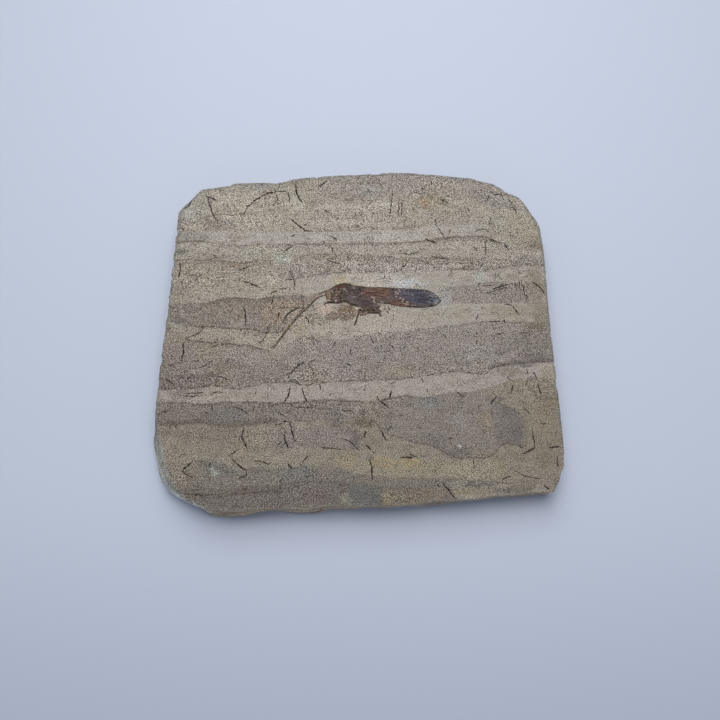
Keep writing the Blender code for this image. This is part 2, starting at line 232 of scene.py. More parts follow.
# Stains and clear patches on the upper face, in the order they are laid down: middle, half length and
# half width, turn in degrees if any, colour, strength.
PATCHES = (
    # Above the insect.
    (-36, 42.5, 14, 4.5, (157, 149, 138), 0.9), (-52, 40, 5, 6, (147, 147, 140), 0.7),
    (-48, 42, 4, 2.6, (137, 131, 123), 0.7), (-32, 47, 8, 1.8, (137, 130, 121), 0.8),
    (-43, 35, 9, 1.9, (123, 116, 109), 0.9), (-52, 35, 3, 1.6, (121, 114, 110), 0.8),
    (-48, 38.6, 3, 1.4, (138, 132, 125), 0.7), (-8, 47, 3, 3, (132, 125, 117), 0.8),
    (14, 44.4, 11, 1.6, (139, 132, 123), 0.8), (-24, 38.2, 3.4, 1.2, (136, 128, 118), 0.8),
    (-40, 38.8, 3, 1, (139, 132, 122), 0.8), (-50, 30.4, 9, 1.8, (144, 142, 135), 0.8),
    (-30, 48.2, 2.8, 2.6, 30, (131, 130, 128), 0.7), (-43, 33.3, 3.6, 1.3, (122, 114, 106), 0.9),
    (-12.5, 43, 3.0, 2, (134, 127, 118), 0.8), (4, 46.2, 5, 3, (142, 141, 138), 0.7),
    (22.5, 42, 7.5, 4.2, (138, 127, 111), 0.7), (22.6, 44.7, 4, 1.3, (126, 117, 104), 0.8),
    (20.8, 42.4, 2, 1.8, (144, 120, 97), 0.8), (3, 43, 9, 1.2, (141, 133, 124), 0.7),
    (10, 49.4, 28, 1.8, (132, 125, 118), 0.9), (31, 47, 11, 3.4, (136, 127, 118), 0.8),
    (-4, 40.4, 13, 2.2, (166, 159, 151), 0.9), (-2, 34.9, 20, 1.7, (164, 156, 148), 0.9),
    (-9, 37.5, 5, 0.8, (132, 125, 117), 0.8), (9, 41.6, 6, 1.8, (170, 163, 155), 0.9),
    (16, 39.9, 2.6, 1, (130, 122, 112), 0.8), (36, 46.4, 6, 2.4, (132, 125, 122), 0.7),
    (47.5, 40.6, 3.4, 1, (124, 117, 109), 0.8), (31, 36.8, 14, 4, (144, 136, 126), 0.7),
    (43, 36, 9, 5, (152, 146, 135), 0.6), (41, 44, 9, 4, -20, (129, 123, 118), 0.8),
    (50, 34, 8, 7, (148, 142, 126), 0.7), (51, 29, 6, 4, (138, 130, 117), 0.7),
    (53.5, 27.5, 2.6, 2.6, (120, 110, 99), 0.8), (52, 42, 4, 4, (156, 150, 139), 0.7),
    (-36.5, 20.8, 4, 1.3, -4, (126, 113, 99), 0.9), (-53.3, 25, 2.6, 1.5, (98, 97, 91), 1.0),
    (-44, 23.2, 10, 1.4, (126, 118, 109), 0.8), (-44, 22.6, 2.6, 0.8, (112, 104, 98), 0.8),
    (-28, 26, 3, 1.4, (133, 125, 115), 0.9), (14, 26.4, 8, 1, (161, 154, 145), 0.7),
    (-22.5, 23, 3.6, 2.8, (156, 158, 148), 0.9), (36, 17.6, 3.2, 2.6, (160, 162, 153), 0.8),
    (-30, 25.5, 6, 3, (152, 147, 135), 0.6), (-37, 29.8, 5, 2.4, (150, 142, 133), 0.8),
    (-15, 20.5, 6, 4.5, (145, 137, 129), 0.6), (-45, 13, 9, 3.6, (150, 142, 131), 0.7),
    (14, 22, 2.6, 1.6, (127, 118, 102), 0.8), (-53, 12.5, 5, 4, (134, 126, 116), 0.8),
    (-53, 29.5, 5, 3, (138, 131, 123), 0.7), (-19, 41.2, 5, 2.6, (168, 161, 150), 0.9),
    (-12, 29.7, 5, 1.3, (174, 167, 160), 0.8), (52.5, 14, 4.4, 8, (126, 118, 105), 0.8),
    (53, 5, 4.5, 6, (125, 116, 103), 0.8), (9, 30.8, 7, 2.2, (171, 165, 159), 0.8),
    (10, 20.6, 15, 1.5, (142, 135, 130), 0.8), (-9, 20, 9, 1.6, (131, 123, 115), 0.9),
    (-12, 23.2, 3, 1.1, (117, 109, 101), 0.8), (42, 20.2, 5, 1.1, (131, 123, 114), 0.8),
    (24, 22.6, 3, 1, (146, 138, 130), 0.8), (50, 22.9, 4.4, 1.6, (116, 110, 106), 0.8),
    (30, 20.6, 4, 1, (148, 141, 133), 0.7), (-26, 16, 4, 3, (166, 159, 148), 0.7),
    # Round the insect.
    (5, 16.2, 14, 2.8, (174, 167, 158), 1.0), (5, 14.3, 4.5, 1, (188, 180, 172), 1.0),
    (46, 16.2, 5, 1.3, (139, 131, 119), 0.8), (45, 11.5, 5.5, 3.6, (127, 118, 111), 0.8),
    (-5.2, 15.6, 4, 1.9, 5, (176, 165, 143), 1.0), (14.5, 14.6, 8.5, 1.9, (178, 177, 178), 1.0),
    (25.4, 9.8, 3, 4, (154, 151, 148), 0.9), (-21.5, 6.2, 10, 5.2, (132, 118, 105), 1.0),
    (-13, 10, 3.8, 1.7, 30, (133, 119, 107), 1.0), (-33, 2.2, 6, 1.4, (142, 134, 127), 0.8),
    (-37, 6, 4, 3, (129, 120, 108), 0.7), (-13.5, 3.4, 4, 2, (140, 131, 119), 0.7),
    (-12, 2, 10, 7, 20, (159, 150, 138), 0.8), (6, 3, 15, 5, (165, 157, 146), 0.8),
    (44, 5.6, 9, 3.6, (143, 134, 120), 0.8), (-28, -2.8, 7, 2, -8, (148, 140, 129), 0.8),
    (-9.4, 6.7, 3.8, 1.7, -8, (177, 160, 145), 1.0), (-16.4, 0.2, 2.4, 3.4, -50, (153, 142, 125), 0.8),
    (-19.6, 4.9, 2.4, 1.2, 35, (142, 136, 126), 0.9), (-3.0, 6.0, 4.6, 2.9, (108, 91, 71), 1.0),
    (-5.2, 4.0, 6.4, 1.9, (113, 98, 87), 1.0), (-12, 2.3, 2.6, 1, (120, 111, 98), 0.9),
    (-24, 2.6, 3, 1, (150, 139, 125), 0.8), (-12, 3.6, 4.0, 1.8, -10, (130, 124, 112), 0.9),
    (-13, -3.1, 2.2, 1.0, -20, (106, 96, 89), 1.0), (-16.3, -3, 1.6, 1.4, (120, 112, 102), 0.8),
    (-14.2, 4.0, 0.7, 0.7, (88, 80, 70), 1.0), (-12.2, 6.0, 0.5, 0.7, (84, 72, 60), 1.0),
    (0.6, 6.5, 1.0, 0.6, -20, (178, 165, 152), 1.0), (9.4, 6.6, 3.8, 1.6, (148, 138, 127), 0.9),
    # Below the insect.
    (-52, 2.6, 4.4, 1.4, (102, 95, 91), 1.0), (-49, 1.4, 3, 1.1, (122, 115, 110), 0.9),
    (-55, 0.1, 1.8, 1.1, (98, 91, 82), 0.9), (-26, 1.8, 4, 1.6, (146, 135, 120), 0.8),
    (-24.4, -2.6, 3, 2.4, (161, 152, 139), 0.8), (-6, -0.7, 5, 1.2, (168, 160, 149), 0.8),
    (47, 2.4, 2.8, 1.2, (130, 121, 110), 0.8), (52.8, 2.8, 3, 0.9, (138, 130, 114), 0.7),
    (-51, 6.4, 6, 2.0, (117, 108, 102), 0.8), (-46.5, -0.6, 5, 1.4, (138, 130, 121), 0.8),
    (-53, -2.4, 4, 2.6, (134, 126, 115), 0.9), (-43, -3, 4.4, 1, -6, (138, 131, 126), 0.8),
    (-39.6, -0.9, 3.4, 0.9, (139, 131, 121), 0.8), (-35, -3.5, 3, 0.9, -6, (150, 143, 131), 0.8),
    (-24, -8, 2.8, 3.4, (145, 137, 127), 0.8), (-18, -7, 4, 1.6, (120, 112, 105), 0.7),
    (27.5, -7.3, 4, 1.5, (122, 115, 108), 0.8), (40.4, -7, 3, 1.7, (112, 105, 101), 0.8),
    (28, -10.4, 3.4, 1.3, (120, 113, 106), 0.7), (47, -10.4, 6, 1, (108, 101, 96), 0.8),
    (-28, -15.4, 3, 1.2, (114, 106, 100), 0.8), (-42, -19.3, 4.4, 1.5, (139, 132, 119), 0.9),
    (-16, -18.8, 3, 1.6, (165, 157, 148), 0.7), (-1, -24.4, 3, 1.6, (134, 126, 117), 0.7),
    (-5.4, -27.6, 4, 1.4, (109, 101, 93), 0.8), (-43, -6.8, 5.6, 3, (132, 125, 112), 0.9),
    (-36.4, -6.6, 3, 2, (140, 132, 120), 0.8), (-37.5, -16, 2.6, 1.8, (121, 114, 99), 0.9),
    (-37, -10.4, 4, 1, (115, 107, 100), 0.8), (-12, -13.4, 6, 2.8, (133, 125, 118), 0.7),
    (21, -11.6, 8, 2.4, (129, 121, 112), 0.8), (36, -7.6, 4, 2.2, (129, 122, 116), 0.8),
    (51, 0.7, 4.4, 1.5, (110, 101, 90), 1.0), (50, -8.4, 6, 1.7, (110, 102, 99), 0.8),
    (-34, -19.8, 12, 2, (147, 140, 128), 0.8), (-49.5, -19, 5, 1.5, (126, 119, 112), 1.0),
    (-50, -20.8, 6, 1.2, (140, 132, 121), 0.9), (28, -1, 9, 2.4, (137, 130, 123), 0.8),
    (44, -12.9, 7, 1.3, (130, 122, 113), 0.9), (53.5, -13, 3, 3, (141, 134, 118), 0.8),
    (21, -32.8, 5.5, 2.8, (114, 107, 102), 0.8), (27.5, -36, 5, 1.5, (110, 103, 99), 0.9),
    (1.5, -27.8, 5, 1.5, (104, 96, 85), 0.9), (-1, -33, 2, 1.9, -20, (103, 96, 93), 0.9),
    (-5, -24.6, 1.4, 3, (117, 110, 108), 0.7), (-11, -22.8, 4, 1.6, (117, 108, 101), 0.8),
    (-32, -8.2, 8, 3.0, (143, 135, 127), 0.9), (-39, -12.2, 6, 1.4, (128, 120, 108), 0.7),
    (-21.5, -12.5, 4.5, 3.2, (121, 111, 106), 0.7), (-52, -11, 5, 7, (124, 116, 108), 0.8),
    (33.2, -5.4, 4, 1.2, 4, (150, 148, 145), 0.8), (31.8, -8.3, 2.6, 1.1, -15, (145, 141, 137), 0.7),
    (7, -6.6, 3, 2, -20, (126, 120, 118), 0.8), (12, -12.8, 6, 2.2, (135, 126, 111), 0.8),
    (50, -4.6, 9, 5.6, (119, 112, 104), 0.8), (-21, -20, 5, 2, (158, 150, 142), 0.5),
    (-36, -25.6, 6.5, 2.6, (112, 108, 105), 0.8), (-53, -25, 4, 3, (111, 103, 96), 0.8),
    (20, -22, 5, 2.6, (124, 125, 123), 0.7), (50.5, -28, 8, 14, (129, 120, 105), 0.8),
    (35.2, -27.4, 1.8, 4.6, (146, 136, 115), 0.9), (28, -27.4, 2.4, 2.4, (146, 139, 134), 0.7),
    (27.8, -34.9, 0.5, 1.2, 20, (200, 194, 188), 1.0), (38.5, -22, 3, 2.6, (112, 105, 101), 0.5),
    (-42, -30.8, 17, 2.8, (122, 114, 104), 0.9), (-20, -28.5, 4, 2.2, (136, 128, 120), 0.6),
    (-38, -35, 16, 2, (136, 127, 114), 0.6), (-19, -36.9, 6.5, 2, (146, 138, 127), 0.9),
    (-32, -36.9, 3, 1.7, (146, 138, 125), 0.8), (-31, -40, 3.2, 1.7, (136, 128, 118), 0.8),
    (-38, -37, 0.6, 1.6, (110, 106, 97), 0.8), (-8, -40.3, 3, 1.3, (121, 113, 101), 0.8),
    (20, -40.6, 4, 1.8, (154, 146, 126), 0.7), (-44, -43, 4, 1.6, (128, 121, 111), 0.8),
    (-30, -43.4, 13, 1.8, (127, 120, 112), 0.7), (-38, -32.8, 8, 1, (117, 109, 101), 0.7),
    (-20, -33.6, 2.6, 1.4, (112, 105, 100), 0.7), (18, -40.3, 24, 3.4, (141, 133, 115), 1.0),
    (33, -40.5, 9, 3.4, (146, 139, 121), 0.8), (38, -37, 12, 2.2, (130, 122, 108), 0.7),
    (51.5, -37.5, 4.5, 4, (119, 111, 99), 0.8), (7.5, -38.6, 5.5, 2.0, (150, 137, 111), 1.0),
    (14.8, -38.8, 3.6, 1.7, (154, 139, 110), 1.0), (-3, -38.2, 3.6, 3, (144, 133, 111), 0.9),
    (-49, -40, 8, 7, (138, 130, 117), 0.8), (-52, -36.5, 3, 3, (142, 134, 123), 0.8),
    (-37, -40.4, 5.5, 2.8, (117, 116, 110), 0.8), (-38.8, -41.2, 0.9, 1.6, 5, (150, 151, 144), 1.0),
    (-45.5, -46.2, 1.8, 1, (96, 88, 84), 0.9), (-41, -48.3, 2.4, 0.8, (96, 88, 85), 0.9),
    (-36, -48.6, 1.4, 0.8, (98, 90, 87), 0.8), (-30, -49.4, 2, 0.8, (98, 91, 87), 0.8),
    (-20, -46.6, 4, 0.9, (94, 86, 82), 0.9), (-16, -41.6, 6, 3.2, (109, 107, 104), 0.9),
    (-4, -42.6, 4.5, 2, (118, 110, 104), 0.8), (-11, -47.6, 5, 2.6, (106, 95, 90), 0.9),
    (-3, -49, 2, 1.4, (140, 136, 122), 0.8), (8.2, -48, 2.6, 2, (136, 128, 108), 0.8),
    (31, -46.8, 8, 2.2, (133, 125, 110), 0.9), (42, -46.2, 9, 1.8, (106, 99, 92), 0.9),
    (32.5, -44.6, 6.5, 1.2, (107, 99, 96), 1.0), (29, -46.8, 3, 1.2, (138, 129, 107), 0.8),
    (23, -47.6, 5, 1.6, (126, 117, 105), 0.8), (-25, -49.2, 14, 2.2, (110, 103, 97), 0.8),
    (52, -44, 4, 3.4, (127, 119, 108), 0.9), (44.5, -44.4, 4.5, 1.6, (112, 104, 95), 0.7),
    (44, -30.5, 2.6, 2.6, (100, 94, 93), 0.6), (-44, -46.8, 5, 1.4, (120, 113, 105), 0.7),
)

# Where the stone is coarse and crumbly: middle, half length and half width, turn if any, strength.
CRUMBLY = (
    (-3.4, 5.4, 5.2, 3.4, 1.0), (-10.5, 3.8, 4.8, 2.4, 1.0), (-13.5, -3.0, 3.2, 1.4, 1.0),
    (9.6, 6.6, 3.2, 1.8, 1.0), (2, -1.6, 9, 1.4, 5, 0.7), (-49, 6.2, 7, 2.8, 0.5), (-21.5, 7, 9, 4.5, 0.5),
    (-14, -45, 9, 6, 0.6), (-36, -38, 4, 2, 0.3), (-33, 36, 16, 3, 0.6), (12, -47.5, 8, 3, 0.6),
    (-50, 37, 5, 10, 0.5), (42, 45, 8, 4, -20, 0.7), (-5, 22, 14, 3, 0.5), (38, 22, 18, 2.4, 0.6),
    (-26, -32, 12, 4, 0.5), (34, -41, 12, 5, 0.5), (-16, -13, 6, 4, 0.5),
)

# Where the film has flaked off the insect and the stone shows: place and radius.
FLAKES = (
    (-7.6, 12.3, 0.3), (-7.2, 11.8, 0.25), (-6.2, 12.0, 0.2), (-3.9, 12.7, 0.32), (-3.3, 12.1, 0.25),
    (-6.2, 10.9, 0.3), (-6.5, 10.2, 0.25), (-6.3, 9.1, 0.35), (-4.4, 9.3, 0.22), (-8.6, 9.2, 0.3),
    (-5.3, 11.9, 0.18), (-6.9, 9.7, 0.22), (-4.9, 12.9, 0.2), (-1.0, 13.1, 0.2), (1.2, 11.4, 0.22),
    (4.3, 10.2, 0.3), (4.8, 9.9, 0.32), (5.1, 9.5, 0.22), (4.7, 9.0, 0.3), (5.0, 8.5, 0.22),
    (6.9, 8.9, 0.2), (11.3, 11.7, 0.35), (11.9, 11.4, 0.3), (11.0, 11.1, 0.2), (12.2, 12.6, 0.28),
    (12.4, 12.1, 0.2), (11.4, 10.4, 0.25), (12.6, 9.9, 0.28), (13.3, 9.5, 0.3), (13.1, 8.9, 0.22),
    (14.6, 8.7, 0.3), (14.3, 8.0, 0.25), (16.1, 10.8, 0.25), (13.6, 12.5, 0.18), (19.8, 12.1, 0.22),
    (20.4, 11.5, 0.15), (22.8, 8.2, 0.3), (23.2, 8.8, 0.2), (22.2, 11.2, 0.2), (23.1, 10.4, 0.18),
    (1.4, 6.4, 0.25), (2.6, 5.3, 0.25), (5.2, 6.3, 0.2), (7.4, 8.4, 0.25),
)

# Black grains in the film: place and radius.
GRAINS = (
    (-6.5, 12.3, 0.3), (-5.4, 12.6, 0.3), (-7.5, 11.0, 0.25), (-5.8, 10.4, 0.22), (-5.0, 9.9, 0.28),
    (-4.6, 11.3, 0.22), (-3.0, 12.7, 0.25), (-1.2, 14.0, 0.22), (-0.1, 13.9, 0.2), (-1.9, 13.9, 0.2),
    (2.5, 11.4, 0.22), (0.4, 9.2, 0.22), (4.1, 9.5, 0.22), (5.3, 9.2, 0.28), (6.1, 8.5, 0.22),
    (8.3, 13.1, 0.28), (10.6, 11.3, 0.32), (10.9, 9.6, 0.25), (10.4, 12.6, 0.25), (20.4, 12.2, 0.28),
    (21.3, 10.0, 0.28), (21.8, 8.9, 0.32), (21.5, 7.6, 0.28), (24.3, 8.9, 0.3), (22.6, 9.9, 0.18),
    (3.2, 5.9, 0.22), (4.9, 5.7, 0.25), (0.9, 6.0, 0.25), (14.5, 12.2, 0.22), (12.0, 8.9, 0.18),
)

# Colours of the insect: middle, half length and half width, turn if any, colour, strength.
INSECT_COLOURS = (
    (-1.5, 11.4, 5.4, 3.6, (72, 61, 58), 1.0), (-6.0, 11.2, 2.4, 3.2, (86, 69, 60), 1.0),
    (-5.0, 13.7, 3.4, 0.9, 4, (74, 50, 38), 1.0), (-8.7, 10.9, 1.4, 2.4, (118, 102, 85), 1.0),
    (-8.2, 9.6, 1.1, 0.6, (108, 86, 66), 0.8), (-8.8, 12.8, 2.6, 0.7, 35, (100, 84, 62), 1.0),
    (-1.2, 13.7, 1.4, 0.5, (100, 84, 74), 0.9), (-1.4, 9.7, 1.8, 1.8, (92, 84, 84), 0.9),
    (4.0, 11.4, 3.6, 2.2, (104, 76, 68), 1.0), (7.6, 11.4, 3.2, 2.4, (102, 78, 69), 1.0),
    (6.8, 12.5, 2.8, 0.9, (108, 84, 66), 1.0), (2.4, 8.3, 2.6, 1.5, (74, 60, 62), 1.0),
    (3.3, 6.2, 3.6, 1.5, (80, 65, 54), 1.0), (1.7, 4.8, 1.5, 0.6, (124, 103, 92), 1.0),
    (7.4, 9.3, 2.4, 1.2, (96, 80, 76), 1.0), (8.4, 8.2, 1.8, 0.5, (84, 77, 66), 1.0),
    (6.7, 7.8, 1.2, 0.8, (128, 119, 108), 0.9), (11.6, 11.0, 2.6, 2.8, (84, 72, 74), 1.0),
    (14.0, 11.4, 2.4, 2.4, (82, 77, 88), 1.0), (15.0, 9.6, 2.4, 1.8, (80, 71, 78), 1.0),
    (18.0, 10.2, 4.4, 3.6, (70, 69, 82), 1.0), (19.0, 9.2, 2.4, 1.6, (58, 57, 70), 1.0),
    (12.0, 8.4, 3.4, 0.9, -8, (100, 79, 70), 1.0), (15.8, 7.8, 2.6, 0.7, -4, (94, 78, 74), 1.0),
    (19.2, 7.3, 2.6, 0.4, (90, 77, 84), 0.9), (22.8, 9.8, 2.6, 2.8, (100, 102, 106), 1.0),
    (21.4, 9.0, 1.0, 1.8, (78, 82, 94), 0.9), (-17, 4.8, 7, 4, 45, (104, 95, 82), 1.0),
    (-20, 0.8, 1.8, 3, -35, (108, 93, 62), 1.0), (-23, -4, 3, 4, -35, (100, 90, 80), 1.0),
    (-0.5, 3.5, 2, 3, (78, 60, 42), 1.0),
)

# Fine lines in the film: half width, colour, strength, route.
INSECT_LINES = (
    (0.24, (44, 30, 22), 1.0, ((-7.4, 13.5), (-6, 14.2), (-5, 14.5), (-4, 14.6), (-3, 14.5), (-2, 14.3))),
    (0.22, (30, 22, 18), 1.0, ((0.7, 13.7), (1.4, 13.5), (2.2, 13.4), (3.1, 13.3))),
    (0.16, (76, 52, 40), 0.8, ((3, 13.2), (5, 13.15), (7, 13.4), (8.5, 13.3))),
    (0.3, (46, 32, 24), 1.0, ((-9.7, 7.7), (-9.5, 8.4), (-8.8, 8.5), (-8, 8.4), (-7.2, 8.5))),
    (0.26, (66, 48, 40), 0.9, ((-7.2, 8.5), (-6, 8.5), (-5, 8.6), (-4.2, 8.8))),
    (0.22, (52, 38, 28), 0.9, ((-5, 9), (-4, 9.1), (-3, 8.7), (-2, 8.1), (-1.2, 7.7), (-0.4, 7.3))),
    (0.16, (74, 56, 38), 0.8, ((-9.4, 11.6), (-9.1, 10.8), (-9, 10), (-8.9, 9.6))),
    (0.2, (56, 42, 34), 0.7, ((-7.8, 13), (-7.5, 12), (-7.5, 11), (-7.6, 9.6))),
    (0.16, (176, 158, 138), 0.9, ((-9.3, 9.15), (-8.6, 9.2), (-8, 9.15))),
    (0.15, (46, 40, 42), 0.7, ((-2.6, 13.3), (-2.4, 12.4), (-2.2, 11), (-2.1, 9.6))),
    (0.13, (112, 104, 104), 0.5, ((-1.7, 12), (-1.5, 10.5), (-1.6, 9))),
    (0.3, (50, 44, 48), 0.7, ((-2.4, 12.3), (-1.2, 12.2), (0, 12.4), (1, 12.7))),
    (0.14, (70, 42, 40), 0.8, ((1.4, 12.2), (2.4, 11.7), (4, 11.5), (5.6, 11.6), (7.4, 11.4))),
    (0.12, (76, 50, 44), 0.7, ((1.6, 10.9), (3, 10.8), (4.5, 10.6), (6.5, 10.7), (9, 10.3))),
    (0.12, (82, 58, 46), 0.6, ((3.6, 12.6), (5, 12.3), (6.6, 12.2), (8.6, 12.3), (9.8, 12.0))),
    (0.14, (124, 96, 80), 0.5, ((3.8, 12.0), (5.4, 11.95), (7, 11.8), (9.4, 11.6))),
    (0.12, (128, 98, 82), 0.5, ((4.4, 11.0), (6, 11.0), (8, 10.9))),
    (0.12, (58, 44, 44), 0.7, ((5.6, 9.9), (7, 9.7), (8.6, 9.6), (10.4, 9.2))),
    (0.2, (60, 54, 42), 0.9, ((8, 8.25), (8.8, 8.2), (9.5, 8.25))),
    (0.13, (58, 42, 36), 0.7, ((10.2, 8.9), (11.6, 8.7), (13, 8.7), (14.2, 8.4))),
    (0.14, (122, 90, 74), 0.7, ((9.8, 8.5), (11.4, 8.35), (13, 8.2))),
    (0.16, (110, 76, 60), 0.9, ((10.8, 7.8), (12.4, 7.5), (13.6, 7.3), (14.8, 7.2))),
    (0.12, (46, 36, 32), 0.8, ((11.6, 8.0), (13, 7.8), (14.6, 7.55), (15.6, 7.45))),
    (0.13, (162, 138, 124), 0.9, ((13.3, 8.05), (14.2, 8.0), (14.9, 7.85))),
    (0.12, (46, 38, 40), 0.8, ((14.4, 8.3), (15.6, 8.0), (17, 7.9), (17.8, 7.9))),
    (0.13, (150, 136, 126), 0.9, ((15.8, 7.65), (16.7, 7.6), (17.4, 7.55))),
    (0.17, (38, 32, 32), 0.9, ((14.6, 7.25), (16, 7.05), (18, 6.98), (20, 6.98), (21.4, 7.2), (22.2, 7.5))),
    (0.12, (52, 50, 60), 0.7, ((13, 10.9), (15, 10.7), (17.2, 10.6), (19.6, 10.5))),
    (0.12, (100, 98, 112), 0.5, ((14, 11.5), (16, 11.4), (18, 11.3))),
    (0.16, (54, 54, 60), 0.7, ((15.4, 12.6), (17, 12.4), (18.8, 12.3), (20.2, 12.2))),
    (0.2, (56, 42, 32), 0.9, ((2.9, 5.25), (4, 5.1), (5, 5.05), (5.8, 5.2))),
    (0.3, (42, 33, 25), 0.9, ((-17.6, 6.6), (-18.8, 6), (-20, 4.9), (-20.8, 3.6), (-21.6, 2))),
    (0.2, (60, 46, 38), 0.8, ((0.8, 6.7), (1.6, 6.0), (2.6, 5.9), (3.6, 6.6), (4.8, 6.2), (5.6, 6.6))),
    (0.16, (184, 176, 174), 0.5, ((3.2, 13.6), (4.4, 13.45), (5.6, 13.5))),
    (0.16, (180, 174, 178), 0.5, ((9.2, 13.7), (10.2, 13.3), (11.2, 13.5), (13.4, 13.35), (14.8, 13.2))),
)

